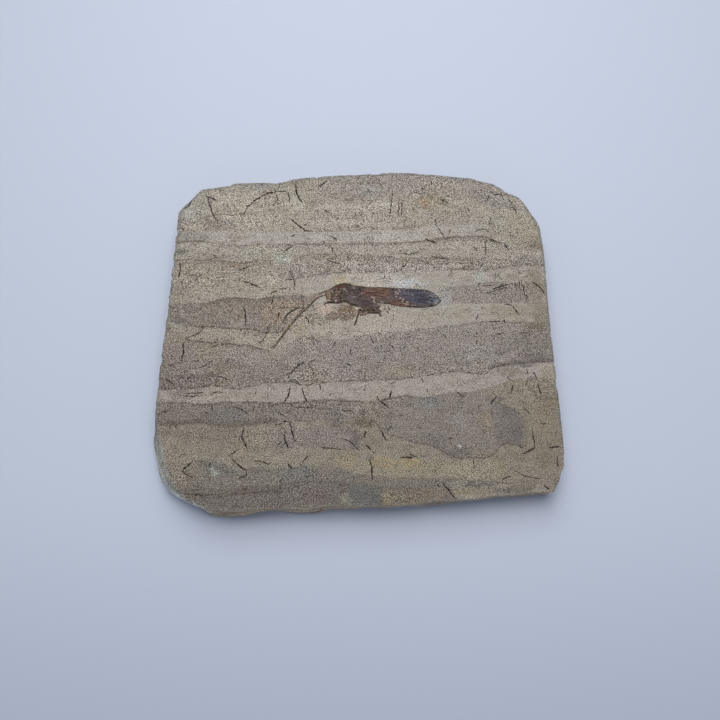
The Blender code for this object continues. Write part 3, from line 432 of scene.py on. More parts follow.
# Dark plant fragments on the upper face, boldest first: half width, darkness and routes.
FRAGMENTS = (
    (0.21, 1.0, (
        ((-46.5, 44.5), (-45.3, 41), (-44.5, 38.5), (-42.5, 35.5)), ((-47, 44.6), (-43.6, 43.2)),
        ((-35, 38), (-34, 40.5), (-31.5, 43.2), (-28, 45.5), (-24, 46.2), (-22, 46.3)),
        ((-19.5, 49), (-18.7, 45), (-17, 42)), ((-11.7, 48), (-9.5, 50.2)),
        ((-20.5, 36.5), (-18, 34.3), (-16, 32.5), (-14, 31.9)), ((-22.3, 25.3), (-19.3, 27.4)),
        ((-8.6, 27.5), (-7.6, 26.5), (-7.4, 25)), ((-9, 22.4), (-7, 21.7), (-5, 21.3)),
        ((-33.8, 15.5), (-30.8, 14.3), (-28.5, 13.2)), ((-53, 21.5), (-52.6, 19), (-53, 16.5)),
        ((-33.3, 7.4), (-32.5, 5.5), (-32.2, 1)), ((-24.4, 10.9), (-24.8, 9.5), (-25.1, 8.1)),
        ((6, 5.3), (7.1, 4.1)), ((-11.3, 2), (-10.5, 1.2)), ((-15, 3.9), (-14.2, 3), (-14, 1.9)),
        ((-22.7, 5.4), (-23.2, 3.5)), ((-51.3, 43.4), (-51.3, 42), (-52.2, 40.8), (-54.2, 40.1)),
        ((20.4, 29.8), (22, 28.8), (24, 28)), ((44.2, 27.8), (45.5, 25.6)),
        ((39.8, 12.9), (42, 13.6), (44.4, 14.3)), ((51.7, 15.1), (53.5, 13.8), (55, 11.2)),
        ((45.3, 7.3), (47, 4.5)), ((-31, -29), (-31.6, -32), (-29.7, -35)),
        ((-20, -30.5), (-19.5, -33), (-18.7, -34.6)), ((-18.8, -27), (-18, -29.5), (-17, -33)),
        ((-33.8, -38), (-31, -40.2), (-29.5, -41.2)),
        ((-44.4, -38.2), (-47, -41), (-45.8, -42.1), (-43.9, -42.8)),
        ((-18.8, -17.5), (-19.2, -20), (-20.5, -21.9)), ((-15.5, -17.5), (-15, -19.5), (-14, -21.5)),
        ((5.4, -20), (6.2, -21.5), (9, -23.5)), ((9.5, -18.5), (8.9, -21)), ((38.8, -20), (37, -22.3)),
        ((50.6, -16.5), (51.3, -19.5)), ((3.3, -37.5), (3.9, -40), (4.1, -43.5)),
        ((22.8, -44.3), (24.5, -46.5), (26, -48.5)), ((52, -34.9), (54, -34.4), (55.2, -34.3)),
        ((-49.9, -4), (-49.5, -7), (-50, -9.8)),
        ((-19.5, -14.8), (-18.3, -12.6), (-16.5, -10.8), (-15, -10)),
        ((-7.9, 30.5), (-7, 30), (-6.2, 29.3)), ((-16.3, 34.2), (-15.3, 34.9)), ((42.3, 3), (42.8, 2.1)),
        ((-54, -14.8), (-53.2, -15.3), (-52, -16.3)), ((-20.3, -27.2), (-19, -27.4)),
        ((25, -32), (26, -32)), ((49.9, -44.9), (51.2, -45.9)), ((11.5, -37.4), (13.5, -37.3), (15, -37.6)),
        ((-53.2, 33.3), (-52.6, 32.1)), ((2.4, -30), (1.8, -31.8)), ((2.5, -33.8), (3.6, -35.3)),
        ((-13.3, -22), (-12.6, -22.6)), ((-18.6, -39.5), (-17.6, -40.3)), ((-45.2, 0.8), (-44.2, 0.7)),
    )),
    (0.15, 0.95, (
        ((-21.5, 46), (-21, 42.5)), ((-26, 41), (-24.6, 43.3), (-25.3, 45)), ((-11, 40), (-8.5, 38.5)),
        ((-10.5, 28.8), (-9.8, 28.2)), ((-7.5, 30.2), (-6.5, 29.4)), ((-36, 18.8), (-32, 20.3)),
        ((-47.8, 16), (-46, 17.8)), ((-16.4, 10.5), (-16, 9.3), (-15.8, 8), (-15.7, 7.2)),
        ((-24.8, 11.8), (-23.6, 12.2)),
        ((-20.4, 19), (-19.6, 17.4), (-18.8, 16), (-18.5, 14.8), (-18.7, 12.6)), ((10.9, 46.5), (9.8, 37)),
        ((12.8, 43), (12.6, 37.5)), ((13.7, 43), (13.5, 37.5)), ((17.5, 46.2), (20, 45)),
        ((25.5, 43.5), (28, 42)), ((23, 50), (23, 48.5)), ((23.8, 36.5), (23.9, 34)),
        ((24.5, 33.5), (26, 30.3)), ((35.7, 32.2), (37.5, 33), (39, 32.9), (40, 31.8)),
        ((38.5, 29), (38.5, 24)), ((40, 29.3), (41.5, 28.3)), ((21.8, 23.5), (27.5, 22.7)),
        ((13, 24.8), (15.5, 24.2), (18.5, 25.3)), ((37, 14), (40, 14.1)), ((37.8, 11.5), (44, 13.5)),
        ((46.5, 15), (46.8, 12.5)), ((47.8, 16), (47.7, 12)), ((48.3, 15.8), (49, 12), (49.5, 9)),
        ((35, 4.9), (34.5, 2.8)), ((46.5, 43.5), (47.8, 41)), ((44.5, 46), (45, 43)),
        ((-41.8, -5.5), (-39.5, -4.5)), ((-45, -11.8), (-43, -11), (-41, -9.5)),
        ((-46.5, -9.9), (-45, -9.4)), ((-37.5, -10.5), (-36.2, -8.8)), ((-53.8, -15), (-51.8, -16.5)),
        ((-39.8, -14.5), (-38, -14.4), (-35.8, -15.3)), ((-39.7, -15), (-39.5, -17.6)),
        ((-13.5, -9.7), (-12, -9.4)), ((-19.4, -15.8), (-17.5, -16), (-15.5, -17)),
        ((-14, -10.5), (-12.7, -12), (-12.2, -14)), ((-40.5, -22), (-40, -24.5)),
        ((-35, -23), (-32, -23.8), (-30, -25.5)), ((-28.5, -23), (-28.8, -24.5)),
        ((-22, -24.5), (-20, -25.8)), ((-35, -37), (-32, -35.2)), ((-40, -39.8), (-39.7, -38.8)),
        ((-28, -38.3), (-25.5, -38.5), (-24, -39.3), (-23.3, -38.6)), ((-18.8, -39), (-17.6, -40.3)),
        ((-15, -39), (-13.3, -36.8)), ((-21, -44.3), (-19.8, -43)), ((-54, -24.5), (-52.5, -24.5)),
        ((-3, -10.4), (-1.5, -11.3)), ((-2, -6), (-1.8, -8)), ((-6, -3.5), (-7, -5.5)),
        ((4, -2.7), (4.6, -4)), ((9.3, -4.5), (10.3, -5.6)), ((7.3, -9.3), (8, -8)), ((2.2, -13), (2, -15)),
        ((19.5, -18), (19.7, -19)), ((27.3, -18.5), (30, -20.5)), ((43.6, -17), (42.8, -19.2)),
        ((47, -17), (48, -15.5)), ((50, -13), (50.3, -15.5)), ((47.8, -12), (48, -13.5)),
        ((50.2, -28), (52, -28)), ((48, -35), (46, -36), (44.8, -36.5)), ((54, -37), (54, -40)),
        ((42.2, -41), (45, -42.5), (49, -43.2)), ((38.7, -43.5), (40, -42.6), (41.2, -42.6)),
        ((31.4, -38), (31.6, -40)), ((21.5, -44.5), (21.9, -45.4)), ((49.8, -45.2), (51.2, -46)),
        ((2.2, -30.5), (1.8, -32)), ((2.3, -33.8), (3.7, -35.5)), ((6.5, -30), (8, -33)),
        ((9.5, -28.5), (8.2, -30)), ((13.8, -37.4), (15, -37.4)), ((-21.2, 16.1), (-18.8, 15.9)),
        ((-25.9, 1.6), (-25.8, -0.6), (-26.3, -2), (-27.2, -3.6), (-28.6, -4.2)),
        ((-25.4, 11.3), (-24.6, 12.2), (-23.7, 12)),
        ((-44.2, 0.6), (-44.6, -0.2), (-46, -1.3), (-49.4, -2.8), (-47.4, -3.5)),
        ((-12, 42.2), (-11, 41.5)), ((-12.3, 39.5), (-12, 38.2)), ((-23.2, 34.8), (-22.5, 34.2)),
        ((1.5, 38.5), (0.8, 37.4)), ((1.4, 36.4), (2.2, 35.5)), ((39.8, 30), (42, 28.3), (44, 28.2)),
        ((33.3, 36), (33.4, 35)), ((40.6, 44.5), (39.8, 42.8)), ((41.4, 46.3), (42, 45.2), (44.8, 45.3)),
        ((47.9, 40.5), (48.8, 38.6)), ((47.7, 18.5), (48.6, 17.7)), ((49.7, 11.5), (50, 9)),
        ((43, 8), (45, 7.6)), ((38, 2.4), (41.4, 2.7)), ((40.2, -1.5), (41.8, -1)),
        ((47.5, -1), (49.3, -1.1), (49.8, -2)), ((49.4, -13), (50.5, -14.6)),
        ((-53.6, -10.9), (-51.8, -10.7)), ((-50.8, -10), (-49.9, -10.3)), ((-48, -15.6), (-46.2, -13.5)),
        ((-49.5, -20), (-46.8, -20.1), (-44, -19.9)), ((-48.5, -19.3), (-45, -19.2), (-43, -19)),
        ((-41, -19.5), (-39.8, -18.9), (-37.7, -18.9)), ((-52.5, 2.1), (-51.4, 2.4)),
        ((-19.2, -15.5), (-17.8, -15.1), (-16, -16.5)), ((-14.6, -17), (-13.2, -16.8), (-12, -16.2)),
        ((-18.8, -22), (-17.8, -23.2), (-14, -23.4), (-12, -23.2)), ((-22.5, -28.2), (-20, -28)),
        ((-21.8, -35.2), (-21.7, -34), (-20.5, -33)), ((-4.5, -32), (-2, -33), (-0.5, -34.5), (0.4, -35.5)),
        ((-10, -34.6), (-6, -35), (-4, -35.2)), ((-7.8, -19.9), (-7.2, -19.2)),
        ((2.2, -17.6), (1.9, -18.6)), ((-4, -24.6), (-2.6, -24.1), (-1, -24.5)),
        ((5.5, -29), (7, -30.5), (8, -33)),
        ((47.9, -29.5), (48.2, -32.5), (48.1, -34.8), (46.5, -35.4), (44.6, -36.4)),
        ((44, -34.2), (45, -34.8)), ((46, -23.5), (47.6, -25)), ((14.2, -36.4), (16.3, -37.5)),
        ((-29.6, -41.5), (-29.8, -42.4), (-31.6, -43)), ((-14, -42.5), (-13.2, -43)),
        ((-44, -47.4), (-41, -47.6)), ((36.2, 7), (37.2, 6.7)), ((-24, 49), (-25, 46.6)),
        ((-20, 30.2), (-18.7, 31.2)),
    )),
    (0.12, 0.8, (
        ((-24.8, 6.7), (-20, 6.9), (-15.2, 7)), ((7.8, 6.6), (8.1, 6.2)), ((9.2, 6.6), (9.4, 6.1)),
        ((10.7, 7.1), (11.0, 6.9)), ((11.4, 6.5), (11.9, 6.2)), ((10.4, 4.8), (10.5, 4.1)),
        ((10.4, 3.7), (10.5, 3.3)), ((8.6, 5.6), (8.9, 5.4)), ((-20, 19.5), (-19, 17)),
        ((28.2, 33), (27.4, 30.8)), ((42.3, 3), (42.8, 2.2)), ((41, 18.5), (40.5, 15)),
        ((26.7, 17), (28, 18.5)), ((-12.5, -2.5), (-11.5, -3.8)),
    )),
)

# More small fragments strewn at random: how many, their lengths, half widths and darkness, the seed,
# the part of the face that they lie on, and the place of the insect, which stays clear of them.
SMALL_FRAGMENTS = 120
SMALL_LENGTH = (0.5, 2.2)
SMALL_WIDTH = (0.08, 0.17)
SMALL_DARKNESS = (0.4, 1.0)
SMALL_SEED = 23
STREWN_OVER = ((-54, 54), (-48, 50))
INSECT_PLACE = ((-13, 26), (3, 16))
# How far apart the points of a fragment are, how much they waver, and how deep it is sunk.
FRAGMENT_STEP = 0.45
FRAGMENT_WAVER = 0.07
FRAGMENT_SUNK = 0.12

# The floor, in metres: where its flat part ends, where it ends, how high it rises there, and its faces.
FLOOR_FLAT = 0.35
FLOOR_END = 0.9
FLOOR_RISE = 0.25
FLOOR_RINGS = 24
FLOOR_SIDES = 96


def field(points, size, seed, octaves=1):
    """Smooth noise from -1 to 1 at each point, with features about one size across."""
    shift = Vector((seed * 17.3, seed * 31.7, seed * 7.9))
    values = []
    for point in points:
        place = Vector(tuple(point) + (0.0,) * (3 - len(point))) / size + shift
        values.append(noise.fractal(place, 1.0, 2.0, octaves) if octaves > 1 else noise.noise(place))
    return np.array(values)


def smoothstep(low, high, value):
    share = np.clip((value - low) / (high - low), 0, 1)
    return share * share * (3 - 2 * share)


def linear(colour):
    """A colour seen on screen, 0 to 255, as the linear red, green, blue and alpha that shaders use."""
    shares = [c / 255 for c in colour]
    return tuple(s / 12.92 if s <= 0.04045 else ((s + 0.055) / 1.055) ** 2.4 for s in shares) + (1.0,)


def paint(name):
    return linear(COLOURS[name])


class Field:
    """A number or colour that varies over a surface, with the arithmetic that shader nodes can do."""

    def __init__(self, tree, socket):
        self.tree = tree
        self.socket = socket

    def math(self, operation, *others):
        return self.tree.math(operation, self, *others)

    def absolute(self):
        return self.math("ABSOLUTE")

    def __neg__(self):
        return self.math("MULTIPLY", -1.0)

    def __add__(self, other):
        return self.math("ADD", other)

    __radd__ = __add__

    def __sub__(self, other):
        return self.math("SUBTRACT", other)

    def __rsub__(self, other):
        return self.tree.math("SUBTRACT", other, self)

    def __mul__(self, other):
        return self.math("MULTIPLY", other)

    def step(self, low, high):
        """0 at low and beyond, 1 at high and beyond, and a smooth change between."""
        if low > high:
            return self.tree.map_range(self, high, low, 1.0, 0.0, "SMOOTHSTEP")
        return self.tree.map_range(self, low, high, 0.0, 1.0, "SMOOTHSTEP")

    def remap(self, low, high, new_low, new_high):
        return self.tree.map_range(self, low, high, new_low, new_high, "LINEAR")


class Tree:
    """The nodes of one material."""

    def __init__(self, name):
        self.material = bpy.data.materials.new(name)
        self.material.use_nodes = True
        self.nodes = self.material.node_tree.nodes
        self.links = self.material.node_tree.links
        self.shader = self.nodes["Principled BSDF"]

    def add(self, kind, inputs=(), **settings):
        node = self.nodes.new("ShaderNode" + kind)
        for name, value in settings.items():
            setattr(node, name, value)
        for key, value in dict(inputs).items():
            self.feed(node.inputs[key], value)
        return node

    def feed(self, socket, value):
        if isinstance(value, Field):
            self.links.new(value.socket, socket)
        else:
            socket.default_value = value

    def math(self, operation, *values):
        node = self.add("Math", enumerate(values), operation=operation)
        return Field(self, node.outputs[0])

    def blend(self, share, a, b):
        """The number a where the share is 0, and b where it is 1."""
        node = self.add("Mix", {0: share, 2: a, 3: b})
        return Field(self, node.outputs[0])

    def normal(self):
        return Field(self, self.add("NewGeometry").outputs["Normal"])

    def map_range(self, value, low, high, new_low, new_high, kind):
        node = self.add("MapRange", enumerate((value, low, high, new_low, new_high)), interpolation_type=kind)
        return Field(self, node.outputs[0])

    def vector(self, operation, a, b):
        node = self.add("VectorMath", {0: a, 1: b}, operation=operation)
        return Field(self, node.outputs["Vector"])

    def scaled(self, vector, scale):
        node = self.add("VectorMath", {0: vector, "Scale": scale}, operation="SCALE")
        return Field(self, node.outputs["Vector"])

    def stretched(self, place, x, y, z=1.0):
        """The place scaled along each axis: noise read there is drawn out along the smallest number."""
        return self.vector("MULTIPLY", place, (x, y, z))

    def times(self, colour, number):
        return self.vector("MULTIPLY", colour, self.join(number, number, number))

    def split(self, vector):
        node = self.add("SeparateXYZ", {0: vector})
        return [Field(self, output) for output in node.outputs]

    def join(self, x, y, z):
        node = self.add("CombineXYZ", enumerate((x, y, z)))
        return Field(self, node.outputs[0])

    def noise(self, place, size, detail, roughness=0.5):
        """Noise from 0 to 1 with features about one size across."""
        node = self.add("TexNoise", {"Vector": place, "Scale": 1 / size, "Detail": detail,
                                     "Roughness": roughness})
        return Field(self, node.outputs[0])

    def swing(self, place, size, detail, roughness=0.5):
        """Noise from about -1 to 1."""
        return self.noise(place, size, detail, roughness).remap(0.3, 0.7, -1.0, 1.0)

    def mix(self, share, a, b, blend="MIX"):
        node = self.add("Mix", {0: share, 6: a, 7: b}, data_type="RGBA", blend_type=blend)
        return Field(self, node.outputs[2])

    def attribute(self, name):
        node = self.add("Attribute", attribute_name=name)
        return Field(self, node.outputs["Fac"])

    def curve(self, x, points, reach):
        """The height of a line through the points at x; both run from minus reach to reach."""
        node = self.add("FloatCurve", {"Value": x.remap(-reach, reach, 0.0, 1.0)})
        line = node.mapping.curves[0]
        shares = [[mm / reach / 2 + 0.5 for mm in point] for point in points]
        for share in shares[1:-1]:
            line.points.new(*share)
        for point, share in zip(line.points, shares):
            point.location = share
        node.mapping.update()
        return Field(self, node.outputs[0]).remap(0.0, 1.0, -reach, reach)

    def face_place(self):
        """Place on the object in millimetres, from the markings' zero point."""
        coordinates = self.add("TexCoord")
        mm = self.scaled(Field(self, coordinates.outputs["Object"]), 1 / MM)
        return self.vector("SUBTRACT", mm, (*FACE_ZERO, 0.0))

    def bump(self, height, distance, strength, below=None):
        inputs = {"Height": height, "Distance": distance * MM, "Strength": strength}
        if below is not None:
            inputs["Normal"] = below
        return Field(self, self.add("Bump", inputs).outputs[0])

    def finish(self, colour, roughness, specular, normal=None):
        """The material, with its shader fed."""
        inputs = {"Base Color": colour, "Roughness": roughness, "Specular IOR Level": specular}
        if normal is not None:
            inputs["Normal"] = normal
        for name, value in inputs.items():
            self.feed(self.shader.inputs[name], value)
        return self.material


def loop_round(cells_x, cells_y):
    """Indices of a grid's outer points, once round, anticlockwise from above."""
    wide = cells_x + 1
    near = list(range(cells_x))
    right = [j * wide + cells_x for j in range(cells_y)]
    far = [cells_y * wide + i for i in range(cells_x, 0, -1)]
    left = [j * wide for j in range(cells_y, 0, -1)]
    return near + right + far + left


def filled_grid(loop, cells_x, cells_y):
    """Points of a grid whose outer points are the loop and whose inner points are spread evenly."""
    near = loop[:cells_x + 1]
    right = loop[cells_x:cells_x + cells_y + 1]
    far = loop[cells_x + cells_y:2 * cells_x + cells_y + 1][::-1]
    left = np.concatenate((loop[2 * cells_x + cells_y:], loop[:1]))[::-1]
    u = np.linspace(0, 1, cells_x + 1)[None, :, None]
    v = np.linspace(0, 1, cells_y + 1)[:, None, None]
    across = (1 - v) * near[None] + v * far[None]
    along = (1 - u) * left[:, None] + u * right[:, None]
    corners = ((1 - u) * (1 - v) * near[0] + u * (1 - v) * near[-1]
               + (1 - u) * v * far[0] + u * v * far[-1])
    return (across + along - corners).reshape(-1, loop.shape[1])


def grid_faces(first, cells_x, cells_y):
    """Faces of a grid that look up, from the index of its first point."""
    wide = cells_x + 1
    starts = [first + j * wide + i for j in range(cells_y) for i in range(cells_x)]
    return [(a, a + 1, a + wide + 1, a + wide) for a in starts]


def ring(angles, distances, height):
    """Points once round the slab at one height, at these distances from its middle."""
    heights = np.full(len(angles), height)
    return np.column_stack((np.cos(angles) * distances, np.sin(angles) * distances, heights))


def surface_of(mesh):
    """A mesh's surface in millimetres, ready to be met by rays."""
    return BVHTree.FromPolygons([v.co / MM for v in mesh.vertices], [p.vertices for p in mesh.polygons])


def packed(node):
    """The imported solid's surface."""
    return surface_of(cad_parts[node].data)


def reach(solid, angles, height):
    """How far the solid's side lies from its middle in each direction, at one height."""
    far = 100.0
    distances = []
    for angle in angles:
        way = Vector((math.cos(angle), math.sin(angle), 0))
        hit = solid.ray_cast(way * far + Vector((0, 0, height)), -way)
        distances.append(far - hit[3])
    return np.array(distances)


def rim_angles(solid):
    """Directions of the rim's points, evenly spaced along each of the four sides, anticlockwise."""
    angles = np.linspace(-math.pi, math.pi, OUTLINE_READINGS)
    places = ring(angles, reach(solid, angles, OUTLINE_HEIGHT), 0)
    lengths = np.concatenate(([0], np.cumsum(np.linalg.norm(np.diff(places, axis=0), axis=1))))
    starts = []
    for x, y in CORNERS[::-1]:
        starts.append(np.interp(math.atan2(y + FACE_ZERO[1], x + FACE_ZERO[0]), angles, lengths))
    starts.append(starts[0] + lengths[-1])
    rim = []
    for k, cells in enumerate((CELLS_ALONG, CELLS_ACROSS, CELLS_ALONG, CELLS_ACROSS)):
        end = starts[k + 1] if starts[k + 1] > starts[k] else starts[k + 1] + lengths[-1]
        steps = np.linspace(starts[k], end, cells, endpoint=False) % lengths[-1]
        rim.append(np.interp(steps, lengths, angles))
    return np.concatenate(rim)


def face_relief(points):
    """Height of the upper face over its plane at points in millimetres."""
    x, y = points[:, 0] - FACE_ZERO[0], points[:, 1] - FACE_ZERO[1]
    wobble = 0.25 * field(points, 1.6, 3)
    height = SWELL * field(points, 24, 1, 3) + ROUGHNESS_HEIGHT * field(points, 0.9, 2, 2)
    for name, drop in BED_STEPS.items():
        edge = np.interp(x, *zip(*EDGES[name]))
        above = smoothstep(-0.35, 0.35, y + wobble - edge)
        fade = np.exp(-np.abs(y - edge) / 5)
        height += drop * (above - 0.5) * fade
    return height


def chips(angles, distances):
    """How far small chips set the rim back at each of its points."""
    back = np.zeros(len(angles))
    for _ in range(CHIPS):
        middle = random.uniform(-math.pi, math.pi)
        half_width = random.uniform(*CHIP_WIDTH) / 2
        away = np.abs((angles - middle + math.pi) % (2 * math.pi) - math.pi) * distances
        hollow = np.sqrt(np.clip(1 - (away / half_width) ** 2, 0, 1))
        back = np.maximum(back, random.uniform(*CHIP_DEPTH) * hollow)
    return back


def stone_layers():
    """Heights of the thin layers' edges in the broken sides, from the top down."""
    heights = [SLAB_TOP - 0.5]
    while heights[-1] > SLAB_FLOOR + 2 * LAYER_THICKNESS[1]:
        heights.append(heights[-1] - random.uniform(*LAYER_THICKNESS))
    return heights + [SLAB_FLOOR + 0.45, SLAB_FLOOR]


def upper_face(angles, distances):
    """Points of the upper face, a grid inside a rim at these distances from the middle."""
    upper = filled_grid(ring(angles, distances - RIM_ROUND, SLAB_TOP), CELLS_ALONG, CELLS_ACROSS)
    inside = np.ones(len(upper))
    inside[loop_round(CELLS_ALONG, CELLS_ACROSS)] = 0
    upper[:, 2] += face_relief(upper[:, :2]) - (1 - inside) * RIM_ROUND
    return upper


def side_rings(solid, angles, rim_reach, chipped):
    """Rings of points down the sides: each thin layer's upper and lower edge, some layers set back."""
    rings = []
    layers = stone_layers()
    for k, (top, floor) in enumerate(zip([SLAB_TOP] + layers, layers)):
        layer_wave = field(ring(angles, rim_reach, k * 3.7), 9, 11, 2)
        set_back = LAYER_STEP * np.clip(layer_wave + 0.35, 0, 1.2) if k else np.zeros(len(angles))
        depth = smoothstep(0, 1.6, np.full(len(angles), SLAB_TOP - (top + floor) / 2))
        for height in (top - 0.06, floor + 0.04):
            rough = BREAK_GRAIN * (field(ring(angles, rim_reach, height), 0.7, 13, 2) - 0.6)
            distances = reach(solid, angles, min(height, OUTLINE_HEIGHT)) - set_back + rough
            rings.append(ring(angles, distances - chipped * (1 - depth), height))
    return rings


def underside(foot):
    """Rings from the foot inwards, each with half as many points, and the coarser grid inside them."""
    inner = [foot]
    for k in range(1, int(math.log2(UNDERSIDE_STEP)) + 1):
        loop = foot[::2 ** k].copy()
        loop[:, :2] *= 1 - 0.012 * k
        inner.append(loop)
    under = filled_grid(inner[-1], CELLS_ALONG // UNDERSIDE_STEP, CELLS_ACROSS // UNDERSIDE_STEP)
    away = np.clip((1 - np.abs(under[:, :2] / (52, 48)).max(axis=1)) * 6, 0, 1)
    hollow = np.clip(field(under[:, :2], 14, 21, 3) - 0.05, 0, 1) * away
    under[:, 2] = SLAB_FLOOR + 0.25 * hollow
    return inner[:-1], under


def stone_mesh():
    """The whole slab as one closed surface: upper face, rings down its layered sides, and underside."""
    random.seed(STONE_SEED)
    solid = packed("stone_slab")
    angles = rim_angles(solid)
    rim_reach = reach(solid, angles, OUTLINE_HEIGHT)
    chipped = chips(angles, rim_reach)
    upper = upper_face(angles, rim_reach - chipped)
    rings = side_rings(solid, angles, rim_reach, chipped)
    inner, under = underside(ring(angles, reach(solid, angles, SLAB_FLOOR + 0.2) - 0.25, SLAB_FLOOR))
    return upper, rings + inner, under


def closed_slab(upper, rings, under):
    """Vertices and faces of a surface made of an upper grid, rings going down, and a coarser lower grid."""
    vertices = [upper, *rings, under]
    faces = grid_faces(0, CELLS_ALONG, CELLS_ACROSS)
    above = loop_round(CELLS_ALONG, CELLS_ACROSS)
    count = len(upper)
    loops = []
    for points in rings:
        loops.append(list(range(count, count + len(points))))
        count += len(points)
    small = CELLS_ALONG // UNDERSIDE_STEP, CELLS_ACROSS // UNDERSIDE_STEP
    loops.append([count + i for i in loop_round(*small)])
    for below in loops:
        n = len(below)
        for i in range(n):
            d, e = below[i], below[(i + 1) % n]
            if len(above) == n:
                faces.append((above[i], d, e, above[(i + 1) % n]))
            else:
                a, b, c = above[2 * i], above[2 * i + 1], above[(2 * i + 2) % len(above)]
                faces += [(a, d, b), (b, d, e), (b, e, c)]
        above = below
    faces += [(a, d, c, b) for a, b, c, d in grid_faces(count, *small)]
    return np.concatenate(vertices), faces


def loose_places(points, looseness, size, seed):
    """Places from the markings' zero point, shifted about so that what is drawn by them looks uneven."""
    x = points[:, 0] - FACE_ZERO[0] + looseness * field(points, size, seed, 3)
    y = points[:, 1] - FACE_ZERO[1] + looseness * field(points, size, seed + 1, 3)
    return x, y


def patch_share(x, y, middle_x, middle_y, half_length, half_width, turn=0):
    """1 in the middle of an oval patch, fading to 0 at its rim."""
    c, s = math.cos(math.radians(turn)), math.sin(math.radians(turn))
    ahead = ((x - middle_x) * c + (y - middle_y) * s) / half_length
    aside = ((y - middle_y) * c - (x - middle_x) * s) / half_width
    return smoothstep(1.0, 0.4, np.hypot(ahead, aside))


def stains(points, patches, looseness, size, seed):
    """Colour and share of the patches laid over each other at each point: red, green, blue, share."""
    x, y = loose_places(points, looseness, size, seed)
    laid = np.zeros((len(points), 4))
    for *patch, colour, strength in patches:
        share = strength * patch_share(x, y, *patch)[:, None]
        laid = laid * (1 - share) + share * np.array(linear(colour))
    return laid


def route_distance(route, x, y):
    """How far each place is from a route of straight runs."""
    away = np.full(len(x), np.inf)
    for (start_x, start_y), (end_x, end_y) in zip(route, route[1:]):
        run_x, run_y = end_x - start_x, end_y - start_y
        along = np.clip(((x - start_x) * run_x + (y - start_y) * run_y) / (run_x ** 2 + run_y ** 2), 0, 1)
        away = np.minimum(away, np.hypot(x - start_x - along * run_x, y - start_y - along * run_y))
    return away


def lines_laid(laid, points, lines, seed):
    """The stains with fine lines drawn over them, uneven in width and broken up in places."""
    x, y = points[:, 0] - FACE_ZERO[0], points[:, 1] - FACE_ZERO[1]
    wobble = 0.09 * field(points, 0.6, seed, 2)
    ink = smoothstep(-0.65, -0.2, field(points, 0.45, seed + 1))
    for half_width, colour, strength, route in lines:
        away = route_distance(route, x, y) + wobble
        share = (strength * ink * smoothstep(1.4 * half_width, 0.5 * half_width, away))[:, None]
        laid = laid * (1 - share) + share * np.array(linear(colour))
    return laid


def spots_on(points, spots, looseness, seed):
    """1 on the round spots, 0 away from them, with uneven rims."""
    x, y = points[:, 0] - FACE_ZERO[0], points[:, 1] - FACE_ZERO[1]
    loose = looseness * field(points, 0.5, seed)
    covered = np.zeros(len(points))
    for spot_x, spot_y, radius in spots:
        away = np.hypot(x - spot_x, y - spot_y) + loose
        covered = np.maximum(covered, smoothstep(1.25 * radius, 0.6 * radius, away))
    return covered


def give(piece, name, kind, values):
    """Store a value for each of the piece's vertices under the name that its material reads."""
    key = "color" if kind == "FLOAT_COLOR" else "value"
    piece.data.attributes.new(name, kind, "POINT").data.foreach_set(key, np.ravel(values))


def in_scene(name, data):
    """A new object in the scene."""
    thing = bpy.data.objects.new(name, data)
    bpy.context.scene.collection.objects.link(thing)
    return thing


def new_piece(name, vertices, faces, material, sharp=None):
    """An object from vertices in millimetres, which rides with the slab."""
    mesh = bpy.data.meshes.new(name)
    mesh.from_pydata((np.asarray(vertices) * MM).tolist(), [], faces)
    mesh.validate()
    mesh.shade_smooth()
    if sharp is not None:
        mesh.set_sharp_from_angle(angle=math.radians(sharp))
    mesh.materials.append(material)
    piece = in_scene(name, mesh)
    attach(piece, "root")
    return piece


def laid_beds(tree, x, y):
    """The beds' colour over the upper face, how strong their grain is, and the edges' heights."""
    lines = {name: tree.curve(x, points, EDGE_REACH) for name, points in EDGES.items()}
    colour = paint("face")
    grain = FACE_GRAIN
    for upper, lower, left, right, fade, upper_soft, lower_soft, bed_colour, bed_grain in BEDS:
        share = x.step(left - fade / 2, left + fade / 2) * (-x).step(-right - fade / 2, -right + fade / 2)
        if upper:
            name, shift = upper if isinstance(upper, tuple) else (upper, 0)
            share = share * (lines[name] - y).step(-upper_soft / 2 - shift, upper_soft / 2 - shift)
        if lower:
            name, shift = lower if isinstance(lower, tuple) else (lower, 0)
            share = share * (y - lines[name]).step(shift - lower_soft / 2, shift + lower_soft / 2)
        colour = tree.mix(share, colour, linear(bed_colour))
        grain = tree.blend(share, grain, bed_grain)
    return colour, grain, lines


def dark_lines(tree, x, y, lines, dashes, colour):
    """A dark crust along the beds' edges: a faint wide shade round a dark line of dashes."""
    for name, left, right, shift, half_width, strength in DARK_LINES:
        away = (y - lines[name] - shift).absolute()
        share = away.step(1.1 * half_width, 0.3 * half_width) * dashes
        share = share + away.step(2.2 * half_width, 0.0) * 0.3
        share = share * (x - left).step(0, 3) * (right - x).step(0, 3) * strength
        colour = tree.mix(share.math("MINIMUM", 1.0), colour, paint("crust"))
    return colour


def stained(tree, colour, wear):
    """The colour with the piece's stains over it, thinned in places by the wear, and the stains' share."""
    node = tree.add("Attribute", attribute_name="stains")
    share = Field(tree, node.outputs["Alpha"])
    stain = Field(tree, node.outputs["Color"])
    return tree.vector("ADD", tree.times(colour, 1.0 - share * wear), tree.times(stain, wear)), share


